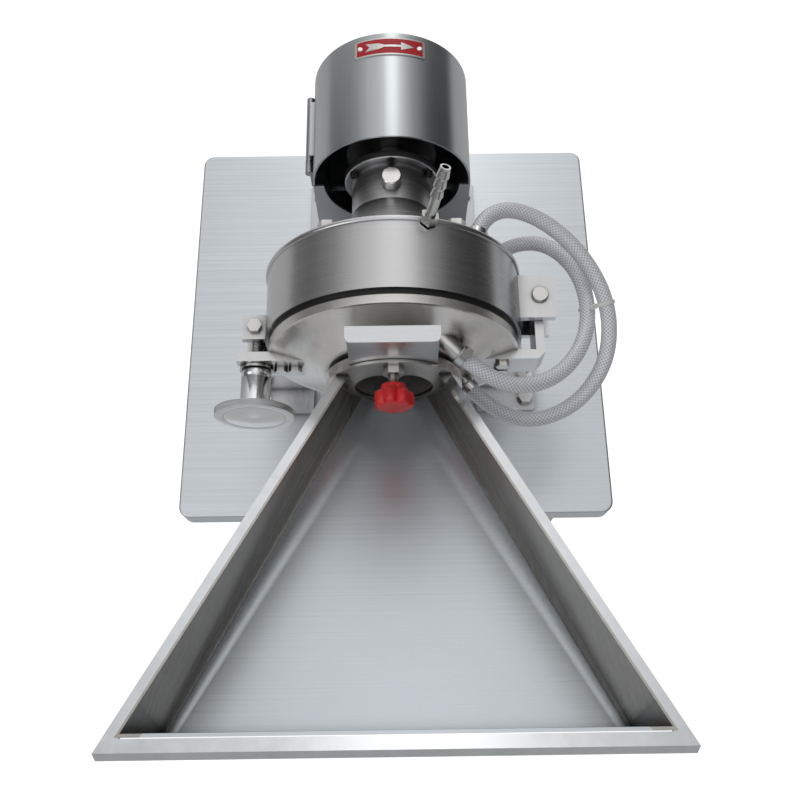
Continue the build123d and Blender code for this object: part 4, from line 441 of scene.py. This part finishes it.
def smooth_line(points):
    """The points read along a NURBS curve of order 3 through the route's control points."""
    data = bpy.data.curves.new("route", "CURVE")
    data.dimensions = "3D"
    spline = data.splines.new("NURBS")
    spline.points.add(len(points) - 1)
    for control, point in zip(spline.points, points):
        control.co = (*point, 1.0)
    spline.order_u = 3
    spline.use_endpoint_u = True
    spline.resolution_u = 12
    carrier = bpy.data.objects.new("route", data)
    mesh = bpy.data.meshes.new_from_object(carrier)
    line = np.empty(len(mesh.vertices) * 3)
    mesh.vertices.foreach_get("co", line)
    bpy.data.objects.remove(carrier)
    bpy.data.meshes.remove(mesh)
    return line.reshape(-1, 3)


def tube(name, line, radius, around=32):
    """A round tube: circles of the radius carried along the line, each turned the least from the last.
    UV u runs round the tube and v is the length along it in metres."""
    step = np.gradient(line, axis=0)
    step /= np.linalg.norm(step, axis=1)[:, None]
    side = np.cross(step[0], (0.0, 0.0, 1.0))
    side /= np.linalg.norm(side)
    sides = [side]
    for direction in step[1:]:
        side = sides[-1] - direction * np.dot(sides[-1], direction)
        sides.append(side / np.linalg.norm(side))
    sides = np.array(sides)
    other = np.cross(step, sides)
    turn = np.linspace(0, 2 * np.pi, around, endpoint=False)[None, :, None]
    ring = line[:, None, :] + radius * (np.cos(turn) * sides[:, None, :] + np.sin(turn) * other[:, None, :])
    rows = len(line)
    corner = np.arange(rows * around).reshape(rows, around)
    next_round = np.roll(corner, -1, axis=1)
    faces = np.stack([corner[:-1], next_round[:-1], next_round[1:], corner[1:]], -1).reshape(-1, 4)
    mesh = bpy.data.meshes.new(name)
    caps = [tuple(corner[0][::-1]), tuple(corner[-1])]
    mesh.from_pydata(ring.reshape(-1, 3).tolist(), [], faces.tolist() + caps)
    along = np.concatenate([[0], np.cumsum(np.linalg.norm(np.diff(line, axis=0), axis=1))])
    u = np.arange(around) / around
    next_u = u + 1 / around
    corners = []
    for u_side, v_end in ((u, along[:-1]), (next_u, along[:-1]), (next_u, along[1:]), (u, along[1:])):
        corners.append(np.stack(np.broadcast_arrays(u_side[None, :], v_end[:, None]), -1))
    uv_all = np.concatenate([np.stack(corners, 2).reshape(-1, 2), np.zeros((2 * around, 2))])
    layer = mesh.uv_layers.new(name="UVMap")
    layer.data.foreach_set("uv", uv_all.ravel())
    mesh.polygons.foreach_set("use_smooth", [True] * len(faces) + [False, False])
    piece = bpy.data.objects.new(name, mesh)
    bpy.context.collection.objects.link(piece)
    return piece


def braided_plastic():
    """Clear plastic with white threads: two families of slanting lines in the tube's own UV. Each line climbs
    round the tube, and the threads lie where either family's wave is near its lower end."""
    lines_round_tube = 12.0
    lines_per_metre = 260.0
    material = bpy.data.materials.new("clear_braided_hose")
    material.use_nodes = True
    tree = material.node_tree
    nodes, links = tree.nodes, tree.links
    shader = nodes["Principled BSDF"]
    uv = nodes.new("ShaderNodeUVMap")
    uv.uv_map = "UVMap"
    split = nodes.new("ShaderNodeSeparateXYZ")
    links.new(uv.outputs["UV"], split.inputs[0])
    masks = []
    for slant in (1.0, -1.0):
        across = nodes.new("ShaderNodeMath")
        across.operation = "MULTIPLY"
        across.inputs[1].default_value = lines_round_tube * slant
        links.new(split.outputs["X"], across.inputs[0])
        along = nodes.new("ShaderNodeMath")
        along.operation = "MULTIPLY_ADD"
        along.inputs[1].default_value = lines_per_metre
        links.new(split.outputs["Y"], along.inputs[0])
        links.new(across.outputs[0], along.inputs[2])
        wave = nodes.new("ShaderNodeMath")
        wave.operation = "PINGPONG"
        wave.inputs[1].default_value = 0.5
        links.new(along.outputs[0], wave.inputs[0])
        thread = nodes.new("ShaderNodeMapRange")
        thread.inputs["From Min"].default_value = 0.20
        thread.inputs["From Max"].default_value = 0.11
        links.new(wave.outputs[0], thread.inputs["Value"])
        masks.append(thread)
    weave = nodes.new("ShaderNodeMath")
    weave.operation = "MAXIMUM"
    links.new(masks[0].outputs["Result"], weave.inputs[0])
    links.new(masks[1].outputs["Result"], weave.inputs[1])
    colour = nodes.new("ShaderNodeMix")
    colour.data_type = "RGBA"
    colour.inputs[6].default_value = (0.72, 0.77, 0.90, 1)
    colour.inputs[7].default_value = (1.0, 1.0, 1.0, 1)
    links.new(weave.outputs[0], colour.inputs[0])
    links.new(colour.outputs[2], shader.inputs["Base Color"])
    clear = nodes.new("ShaderNodeMapRange")
    clear.inputs["To Min"].default_value = 0.74
    clear.inputs["To Max"].default_value = 1.0
    links.new(weave.outputs[0], clear.inputs["Value"])
    links.new(clear.outputs["Result"], shader.inputs["Alpha"])
    bump = nodes.new("ShaderNodeBump")
    bump.inputs["Strength"].default_value = 0.3
    bump.inputs["Distance"].default_value = 0.0004
    links.new(weave.outputs[0], bump.inputs["Height"])
    links.new(bump.outputs["Normal"], shader.inputs["Normal"])
    shader.inputs["Roughness"].default_value = 0.16
    shader.inputs["Coat Weight"].default_value = 0.6
    shader.inputs["Coat Roughness"].default_value = 0.05
    return material


hose_skin = braided_plastic()
for name, points in (("hose_a", route_a), ("hose_b", route_b)):
    line = smooth_line(points)
    hose = tube("braided_" + name, line, HOSE_RADIUS)
    hose.data.materials.append(hose_skin)
    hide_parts(name)
    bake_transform(hose)

# Handwheel and door: a turned steel nut with a disc, its edge cut with a diamond knurl for grip, that runs
# on the closing bolt and presses the washer against the latch ear. The spun door it closes is turned too,
# so both show tool marks in rings and their reflections fan out from the axis.
AXIS_Z = 1.040
WHEEL = (-0.140, AXIS_Z)


def grid_mesh(name, points, close_columns=True, smooth=True):
    """A mesh over an array of points, rows by columns, closed round its columns where asked."""
    rows, columns = points.shape[:2]
    index = np.arange(rows * columns).reshape(rows, columns)
    right = np.roll(index, -1, axis=1)
    faces = np.stack([index[:-1], right[:-1], right[1:], index[1:]], -1)
    if not close_columns:
        faces = faces[:, :-1]
    mesh = bpy.data.meshes.new(name)
    mesh.from_pydata(points.reshape(-1, 3).tolist(), [], faces.reshape(-1, 4).tolist())
    mesh.polygons.foreach_set("use_smooth", [smooth] * len(mesh.polygons))
    piece = bpy.data.objects.new(name, mesh)
    bpy.context.collection.objects.link(piece)
    return piece


def lathe(name, centre, profile, around, relief):
    """A turned surface about an axis along Y: each profile pair (y, radius) makes one circle.
    The relief, a function of y and the angle that gives rows by columns, is taken off the radius."""
    y, radius = np.array(profile).T
    turn = np.linspace(0, 2 * np.pi, around, endpoint=False)
    reach = radius[:, None] - relief(y[:, None], turn[None, :])
    x = centre[0] + reach * np.cos(turn)
    z = centre[1] + reach * np.sin(turn)
    return grid_mesh(name, np.stack([x, np.broadcast_to(y[:, None], x.shape), z], -1))


def triangle(value):
    """A wave of straight sides, 0 at whole numbers and 1 halfway between."""
    return 1 - np.abs(2 * (value - np.floor(value)) - 1)


def knurl(y, turn):
    """Diamond knurl: the deeper of two crossed families of V grooves, only on the disc's edge. A groove takes
    up the given share of its spacing, and turns with y."""
    teeth, lead, depth, share = 84, 0.0030, 0.0009, 0.55
    first = triangle(teeth * turn / (2 * np.pi) + y / lead)
    second = triangle(teeth * turn / (2 * np.pi) - y / lead)
    edge = (y < -0.0661) & (y > -0.0719)
    groove = np.maximum(np.maximum(0, share - first), np.maximum(0, share - second))
    return np.where(edge, depth * groove / share, 0)


wheel_profile = [(-0.0223, 0.0062), (-0.0223, 0.0132), (-0.0226, 0.0140), (-0.0238, 0.0150), (-0.0300, 0.0150)]
wheel_profile += [(-0.0302, 0.0146), (-0.0312, 0.0146), (-0.0314, 0.0150), (-0.0652, 0.0150), (-0.0655, 0.0153)]
wheel_profile += [(-0.0655, 0.0300), (-0.0655, 0.0388), (-0.0657, 0.0396)]
wheel_profile += [(-y, 0.0400) for y in np.linspace(0.0660, 0.0720, 25)]
wheel_profile += [(-0.0723, 0.0396), (-0.0725, 0.0388), (-0.0725, 0.0322), (-0.0724, 0.0318), (-0.0719, 0.0315)]
wheel_profile += [(-0.0719, 0.0309), (-0.0724, 0.0306), (-0.0725, 0.0302), (-0.0725, 0.0120)]
wheel_profile += [(-0.0724, 0.0020), (-0.0722, 0.0001)]
wheel = lathe("knurled_handwheel", WHEEL, wheel_profile, 840, knurl)


def turned_lines():
    """Node group: tool marks as rings about an axis along Y, from noise read along the sum of radius and
    height. The tangent runs round the axis, and corners get painted shade from ambient occlusion."""
    marks_per_metre = 1800.0
    group = bpy.data.node_groups.new("turned_lines", "ShaderNodeTree")
    for name, kind in (
        ("Centre", "NodeSocketVector"),
        ("Colour", "NodeSocketColor"),
        ("Rough Low", "NodeSocketFloat"),
        ("Rough High", "NodeSocketFloat"),
    ):
        group.interface.new_socket(name, in_out="INPUT", socket_type=kind)
    for name, kind in (
        ("Colour", "NodeSocketColor"),
        ("Roughness", "NodeSocketFloat"),
        ("Normal", "NodeSocketVector"),
        ("Tangent", "NodeSocketVector"),
    ):
        group.interface.new_socket(name, in_out="OUTPUT", socket_type=kind)
    nodes, links = group.nodes, group.links
    entry, leave = nodes.new("NodeGroupInput"), nodes.new("NodeGroupOutput")
    coord = nodes.new("ShaderNodeTexCoord")
    away = nodes.new("ShaderNodeVectorMath")
    away.operation = "SUBTRACT"
    links.new(coord.outputs["Object"], away.inputs[0])
    links.new(entry.outputs["Centre"], away.inputs[1])
    flat = nodes.new("ShaderNodeVectorMath")
    flat.operation = "MULTIPLY"
    flat.inputs[1].default_value = (1, 0, 1)
    links.new(away.outputs[0], flat.inputs[0])
    radius = nodes.new("ShaderNodeVectorMath")
    radius.operation = "LENGTH"
    links.new(flat.outputs[0], radius.inputs[0])
    split = nodes.new("ShaderNodeSeparateXYZ")
    links.new(away.outputs[0], split.inputs[0])
    both = nodes.new("ShaderNodeMath")
    both.operation = "ADD"
    links.new(radius.outputs["Value"], both.inputs[0])
    links.new(split.outputs["Y"], both.inputs[1])
    fine = nodes.new("ShaderNodeMath")
    fine.operation = "MULTIPLY"
    fine.inputs[1].default_value = marks_per_metre
    links.new(both.outputs[0], fine.inputs[0])
    marks = nodes.new("ShaderNodeTexNoise")
    marks.noise_dimensions = "1D"
    marks.inputs["Detail"].default_value = 3.0
    marks.inputs["Scale"].default_value = 1.0
    links.new(fine.outputs[0], marks.inputs["W"])
    patches = nodes.new("ShaderNodeTexNoise")
    patches.inputs["Scale"].default_value = 45.0
    links.new(away.outputs[0], patches.inputs["Vector"])
    blend_marks = nodes.new("ShaderNodeMath")
    blend_marks.operation = "ADD"
    links.new(marks.outputs["Fac"], blend_marks.inputs[0])
    links.new(patches.outputs["Fac"], blend_marks.inputs[1])
    gloss = nodes.new("ShaderNodeMapRange")
    gloss.inputs["From Min"].default_value = 0.6
    gloss.inputs["From Max"].default_value = 1.4
    links.new(entry.outputs["Rough Low"], gloss.inputs["To Min"])
    links.new(entry.outputs["Rough High"], gloss.inputs["To Max"])
    links.new(blend_marks.outputs[0], gloss.inputs["Value"])
    shade = nodes.new("ShaderNodeMapRange")
    shade.inputs["From Min"].default_value = 0.6
    shade.inputs["From Max"].default_value = 1.4
    shade.inputs["To Min"].default_value = 0.88
    shade.inputs["To Max"].default_value = 1.08
    links.new(blend_marks.outputs[0], shade.inputs["Value"])
    tint = nodes.new("ShaderNodeVectorMath")
    tint.operation = "SCALE"
    links.new(entry.outputs["Colour"], tint.inputs[0])
    links.new(shade.outputs["Result"], tint.inputs["Scale"])
    bump = nodes.new("ShaderNodeBump")
    bump.inputs["Strength"].default_value = 0.08
    bump.inputs["Distance"].default_value = 0.0003
    links.new(marks.outputs["Fac"], bump.inputs["Height"])
    # Painted shade: ambient occlusion darkens the colour in corners and between parts, to as little as 0.3 of
    # it.
    corners = nodes.new("ShaderNodeAmbientOcclusion")
    corners.samples = 8
    corners.inputs["Distance"].default_value = 0.010
    painted_corner_shade = nodes.new("ShaderNodeMapRange")
    painted_corner_shade.inputs["From Min"].default_value = 0.40
    painted_corner_shade.inputs["From Max"].default_value = 0.95
    painted_corner_shade.inputs["To Min"].default_value = 0.30
    links.new(corners.outputs["AO"], painted_corner_shade.inputs["Value"])
    corner_shaded_colour = nodes.new("ShaderNodeVectorMath")
    corner_shaded_colour.operation = "SCALE"
    links.new(tint.outputs[0], corner_shaded_colour.inputs[0])
    links.new(painted_corner_shade.outputs["Result"], corner_shaded_colour.inputs["Scale"])
    links.new(corner_shaded_colour.outputs[0], leave.inputs["Colour"])
    links.new(gloss.outputs["Result"], leave.inputs["Roughness"])
    links.new(bump.outputs["Normal"], leave.inputs["Normal"])
    round_axis = nodes.new("ShaderNodeVectorMath")
    round_axis.operation = "CROSS_PRODUCT"
    round_axis.inputs[1].default_value = (0, 1, 0)
    links.new(away.outputs[0], round_axis.inputs[0])
    unit = nodes.new("ShaderNodeVectorMath")
    unit.operation = "NORMALIZE"
    links.new(round_axis.outputs[0], unit.inputs[0])
    links.new(unit.outputs[0], leave.inputs["Tangent"])
    return group


turned_group = turned_lines()


def turned_steel(name, colour, centre, metallic, fans, low, high):
    """A turned metal with rings about an axis along Y through the centre, and anisotropic fans of light."""
    material = bpy.data.materials.new(name)
    material.use_nodes = True
    tree = material.node_tree
    shader = tree.nodes["Principled BSDF"]
    shader.inputs["Metallic"].default_value = metallic
    shader.inputs["Anisotropic"].default_value = fans
    marks = tree.nodes.new("ShaderNodeGroup")
    marks.node_tree = turned_group
    marks.inputs["Colour"].default_value = (*colour, 1)
    marks.inputs["Centre"].default_value = centre
    marks.inputs["Rough Low"].default_value = low
    marks.inputs["Rough High"].default_value = high
    for output, socket in (
        ("Colour", "Base Color"),
        ("Roughness", "Roughness"),
        ("Normal", "Normal"),
        ("Tangent", "Tangent"),
    ):
        tree.links.new(marks.outputs[output], shader.inputs[socket])
    return material


wheel_centre = (WHEEL[0], 0, WHEEL[1])
turned_wheel = turned_steel("turned_wheel", (0.92, 0.93, 0.94), wheel_centre, 1.0, 0.4, 0.08, 0.20)
wheel.data.materials.append(turned_wheel)
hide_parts("handwheel")
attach(wheel, "handwheel")
turned_door = turned_steel("turned_door", (0.90, 0.88, 0.85), (0, 0, AXIS_Z), 0.9, 0.85, 0.16, 0.30)
dress(["door_dish", "neck_flange", "hopper_flange"], turned_door)

# Star knob and threaded rods: a red moulding with seven soft lobes, pressed on a threaded steel rod. The rod
# goes through the nut on the hopper flange and holds the gate. The closing bolt, under the handwheel, has
# the other thread.
CLAMP = (0.0, 1.095)


def lobes(y, turn):
    """Seven lobes: the valleys between them are deepest at the grip and fade out on the neck. The cosine of
    half seven turns peaks seven times round, and the power below 1 narrows the lobes' crests."""
    depth = np.interp(-y, [0.0625, 0.0685, 0.0800, 0.0835, 0.0850], [0.0, 0.0042, 0.0046, 0.0016, 0.0])
    return depth * (1 - np.abs(np.cos(7 / 2 * turn)) ** 0.8)


knob_profile = [(-0.0606, 0.0052), (-0.0606, 0.0105), (-0.0610, 0.0116), (-0.0622, 0.0124), (-0.0640, 0.0126)]
knob_profile += [(-0.0660, 0.0132), (-0.0674, 0.0152), (-0.0684, 0.0174), (-0.0694, 0.0186), (-0.0710, 0.0192)]
knob_profile += [(-0.0740, 0.0194), (-0.0780, 0.0194), (-0.0800, 0.0191), (-0.0815, 0.0184), (-0.0825, 0.0172)]
knob_profile += [(-0.0834, 0.0152), (-0.0839, 0.0120), (-0.0841, 0.0080), (-0.0840, 0.0040), (-0.0840, 0.0001)]
knob = lathe("star_knob", CLAMP, knob_profile, 168, lobes)
knob.data.materials.append(red_moulding)
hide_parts("clamp_knob")
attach(knob, "knob")


def threads(pitch, depth, start, end):
    """A screw thread: a V groove that climbs one pitch in each turn and runs out over a pitch at each end."""

    def groove(y, turn):
        runout = np.clip(np.minimum(start - y, y - end) / pitch, 0, 1)
        return depth * runout * triangle(y / pitch + turn / (2 * np.pi))

    return groove


rod_stations = np.arange(-0.0399, -0.0620, -0.00018)
rod_profile = [(-0.0398, 0.0001), (-0.0398, 0.0044)] + [(y, 0.0050) for y in rod_stations]
rod = lathe("clamp_screw_rod", CLAMP, rod_profile, 48, threads(0.0015, 0.0006, -0.0402, -0.0620))
rod.data.materials.append(bolt_steel)
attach(rod, "knob")
bolt_profile = [(y, 0.0066) for y in np.arange(0.0085, -0.0190, -0.0002)]
bolt_thread = lathe("closing_bolt_thread", WHEEL, bolt_profile, 48, threads(0.00175, 0.0007, 0.0088, -0.0192))
bolt_thread.data.materials.append(bolt_steel)
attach(bolt_thread, "closing_bolt")

# Turning-direction plate: red enamel with a bare metal border, and a raised bare arrow that points right.
# It is riveted to the guard's crown and follows its curve.
SIGN_Y = 0.3115
SIGN_RADIUS = 0.0883


def sign_enamel():
    """Red enamel, bare where the object's X or Y lies near the plate's edge and on the two rivets. The red
    shade and the gloss follow a fine noise."""
    border_x, border_y, rivet_x = 0.0350, 0.0093, 0.0315
    material = bpy.data.materials.new("sign_enamel")
    material.use_nodes = True
    nodes, links = material.node_tree.nodes, material.node_tree.links
    shader = nodes["Principled BSDF"]
    coord = nodes.new("ShaderNodeTexCoord")
    place = nodes.new("ShaderNodeMapping")
    place.inputs["Location"].default_value = (0, -SIGN_Y, 0)
    links.new(coord.outputs["Object"], place.inputs["Vector"])
    size = nodes.new("ShaderNodeVectorMath")
    size.operation = "ABSOLUTE"
    links.new(place.outputs[0], size.inputs[0])
    split = nodes.new("ShaderNodeSeparateXYZ")
    links.new(size.outputs[0], split.inputs[0])
    edges = []
    for axis, edge in (("X", border_x), ("Y", border_y)):
        near = nodes.new("ShaderNodeMapRange")
        near.inputs["From Min"].default_value = edge - 0.0002
        near.inputs["From Max"].default_value = edge + 0.0002
        links.new(split.outputs[axis], near.inputs["Value"])
        edges.append(near)
    rivet_place = nodes.new("ShaderNodeVectorMath")
    rivet_place.operation = "SUBTRACT"
    rivet_place.inputs[1].default_value = (rivet_x, 0, 0)
    links.new(size.outputs[0], rivet_place.inputs[0])
    rivet_flat = nodes.new("ShaderNodeVectorMath")
    rivet_flat.operation = "MULTIPLY"
    rivet_flat.inputs[1].default_value = (1, 1, 0)
    links.new(rivet_place.outputs[0], rivet_flat.inputs[0])
    rivet_reach = nodes.new("ShaderNodeVectorMath")
    rivet_reach.operation = "LENGTH"
    links.new(rivet_flat.outputs[0], rivet_reach.inputs[0])
    rivet = nodes.new("ShaderNodeMapRange")
    rivet.inputs["From Min"].default_value = 0.0029
    rivet.inputs["From Max"].default_value = 0.0025
    links.new(rivet_reach.outputs["Value"], rivet.inputs["Value"])
    rim = nodes.new("ShaderNodeMath")
    rim.operation = "MAXIMUM"
    links.new(rivet.outputs[0], rim.inputs[0])
    links.new(edges[0].outputs[0], rim.inputs[1])
    bare = nodes.new("ShaderNodeMath")
    bare.operation = "MAXIMUM"
    links.new(rim.outputs[0], bare.inputs[0])
    links.new(edges[1].outputs[0], bare.inputs[1])
    wear = nodes.new("ShaderNodeTexNoise")
    wear.inputs["Scale"].default_value = 900.0
    wear.inputs["Detail"].default_value = 4.0
    links.new(coord.outputs["Object"], wear.inputs["Vector"])
    red = nodes.new("ShaderNodeMix")
    red.data_type = "RGBA"
    red.inputs[6].default_value = (0.50, 0.004, 0.012, 1)
    red.inputs[7].default_value = (0.66, 0.012, 0.025, 1)
    links.new(wear.outputs["Fac"], red.inputs[0])
    paint = nodes.new("ShaderNodeMix")
    paint.data_type = "RGBA"
    paint.inputs[7].default_value = (0.80, 0.80, 0.79, 1)
    links.new(bare.outputs[0], paint.inputs[0])
    links.new(red.outputs[2], paint.inputs[6])
    links.new(paint.outputs[2], shader.inputs["Base Color"])
    gloss = nodes.new("ShaderNodeMapRange")
    gloss.inputs["To Min"].default_value = 0.28
    gloss.inputs["To Max"].default_value = 0.42
    links.new(wear.outputs["Fac"], gloss.inputs["Value"])
    links.new(gloss.outputs[0], shader.inputs["Roughness"])
    links.new(bare.outputs[0], shader.inputs["Metallic"])
    return material


def bent_arrow(name, outline, across, rise):
    """An arrow laid round the guard's crown: the outline gives pairs of a distance along it and half its width,
    and the other two rows the share of that width and the height above the plate. The tail is notched."""
    along, half = np.array(outline).T
    notch_from, notch_length, notch_depth = -0.02, 0.0065, 0.0045
    notch = np.where(along < notch_from, notch_depth * (notch_from - along) / notch_length, 0.0)
    bend = (along[:, None] + notch[:, None] * (1 - np.abs(across[None, :]))) / SIGN_RADIUS
    reach = SIGN_RADIUS + rise[None, :]
    y = np.broadcast_to(SIGN_Y - half[:, None] * across[None, :], bend.shape)
    points = np.stack([reach * np.sin(bend), y, AXIS_Z + reach * np.cos(bend)], -1)
    return grid_mesh(name, points, close_columns=False, smooth=False)


dress(["arrow_plate"], sign_enamel())
arrow_outline = [(-0.0265, 0.0056), (-0.0240, 0.0050), (-0.0180, 0.0042), (-0.0120, 0.0038), (-0.0085, 0.0026)]
arrow_outline += [(-0.0060, 0.0013), (0.0, 0.0013), (0.0070, 0.0013), (0.0119, 0.0013), (0.0120, 0.0052)]
arrow_outline += [(0.0155, 0.0040), (0.0190, 0.0027), (0.0225, 0.0014), (0.0260, 0.0001)]
arrow_across = np.array([-1.0, -0.98, 0.0, 0.98, 1.0])
arrow_rise = np.array([-0.0003, 0.0002, 0.0002, 0.0002, -0.0003])
arrow = bent_arrow("turning_arrow", arrow_outline, arrow_across, arrow_rise)
bare_sign_metal = steel("bare_sign_metal", (0.80, 0.80, 0.79), 0.25, 0.4, (900, 20, 900), 0.3, 0.05)
arrow.data.materials.append(bare_sign_metal)
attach(arrow, "cover")


# Weld beads: rippled seams where the neck meets the door's cone and where the throat meets the hopper's
# flange. They are stainless, left as welded.
def ring_bead(name, centre, radius, y, thick, lumps, around=480):
    """A weld bead: a small round section carried round an axis along Y, with overlapping ripples.
    The section's radius rises and falls with the ripples, and its centre wavers a little."""
    turn = np.linspace(0, 2 * np.pi, around, endpoint=False)[:, None]
    section = np.linspace(0, 2 * np.pi, 12, endpoint=False)[None, :]
    ripple = 0.80 + 0.20 * np.abs(np.sin(lumps * turn / 2)) + 0.05 * np.sin(7 * turn) * np.sin(19 * turn)
    reach = radius + thick * ripple * np.cos(section) + 0.06 * thick * np.sin(23 * turn)
    along = y + thick * ripple * np.sin(section)
    points = np.stack([centre[0] + reach * np.cos(turn), along, centre[1] + reach * np.sin(turn)], -1)
    return grid_mesh(name, np.concatenate([points, points[:1]]))


def half_bead(name, centre, radius, y, thick, lumps, around=160):
    """A weld bead round the lower half of an axis along Y, rippled like the full ring. It thins out over the
    last seven degrees at both ends."""
    turn = np.linspace(np.pi, 2 * np.pi, around)[:, None]
    section = np.linspace(0, 2 * np.pi, 12, endpoint=False)[None, :]
    ripple = 0.8 + 0.2 * np.abs(np.sin(lumps * turn / 2))
    size = thick * ripple * np.clip(np.sin(turn - np.pi) * 8, 0.05, 1)
    reach = radius + size * np.cos(section)
    along = y + size * np.sin(section)
    points = np.stack([centre[0] + reach * np.cos(turn), along, centre[1] + reach * np.sin(turn)], -1)
    return grid_mesh(name, points)


bead_steel = steel("bead_steel", (0.62, 0.61, 0.60), 0.28, 0.50, (700, 700, 700), 0.5, 0.2, 0.95)
neck_bead = ring_bead("neck_bead", (0, AXIS_Z), 0.0603, -0.0296, 0.0011, 150)
neck_bead.data.materials.append(bead_steel)
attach(neck_bead, "door")
throat_bead = half_bead("throat_bead", (0, AXIS_Z), 0.0463, -0.0427, 0.0012, 100)
throat_bead.data.materials.append(bead_steel)
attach(throat_bead, "door")

# Cable tie: a white nylon strap drawn round both cooling hoses where they run side by side.
# Its square head sits outside, with the cut end of the strap standing out of it.
line_a, line_b = smooth_line(route_a), smooth_line(route_b)
gaps = np.linalg.norm(line_a[:, None] - line_b[None], axis=-1)
# The hoses' ends at the door come close to each other as well, so that quarter is set too far off to count.
too_far = 1.0
gaps[:, : len(line_b) // 4] = too_far
place_a, place_b = np.unravel_index(np.argmin(gaps), gaps.shape)
tie_a, tie_b = line_a[place_a], line_b[place_b]
tie_way = line_a[place_a + 1] - line_a[place_a - 1]
tie_way /= np.linalg.norm(tie_way)
tie_out = tie_a - tie_b
tie_out -= tie_way * (tie_out @ tie_way)
tie_gap = float(np.linalg.norm(tie_out))
tie_out /= tie_gap
tie_up = np.cross(tie_way, tie_out)
tie_turn = np.linspace(-np.pi / 2, 1.5 * np.pi, 121)[:, None, None]
tie_shift = np.where(np.cos(tie_turn) > 0, 0.5, -0.5) * tie_gap
tie_section = np.array([(-0.0018, 0.0082), (-0.0018, 0.0094), (0.0018, 0.0094), (0.0018, 0.0082)])
tie_points = (
    (tie_a + tie_b) / 2
    + tie_shift * tie_out
    + tie_section[None, :, 1:] * (np.cos(tie_turn) * tie_out + np.sin(tie_turn) * tie_up)
    + tie_section[None, :, :1] * tie_way
)
tie = grid_mesh("cable_tie", tie_points, smooth=False)
box_corners = np.array([(a, b, c) for a in (-1, 1) for b in (-1, 1) for c in (-1, 1)], float)
box_faces = [(0, 1, 3, 2), (4, 6, 7, 5), (0, 4, 5, 1), (2, 3, 7, 6), (0, 2, 6, 4), (1, 5, 7, 3)]
head_size = np.array([0.0027, 0.0030, 0.0020])
tail_size = np.array([0.0012, 0.0006, 0.0040])
tie_axes = np.stack([tie_way, tie_out, tie_up])
for name, half_size, rise_by in (("cable_tie_head", head_size, 0.0108), ("cable_tie_tail", tail_size, 0.0150)):
    corners = (tie_a + tie_b) / 2 + tie_up * rise_by + (box_corners * half_size) @ tie_axes
    mesh = bpy.data.meshes.new(name)
    mesh.from_pydata(corners.tolist(), [], box_faces)
    piece = bpy.data.objects.new(name, mesh)
    bpy.context.collection.objects.link(piece)
    soft = piece.modifiers.new("soft_edges", "BEVEL")
    soft.width = 0.0005
    soft.segments = 2
    piece.data.materials.append(plain("nylon_" + name, (0.86, 0.86, 0.84), 0.35, 0.1, 500, 0.05))
    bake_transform(piece)
tie.data.materials.append(bpy.data.materials["nylon_cable_tie_head"])
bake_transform(tie)
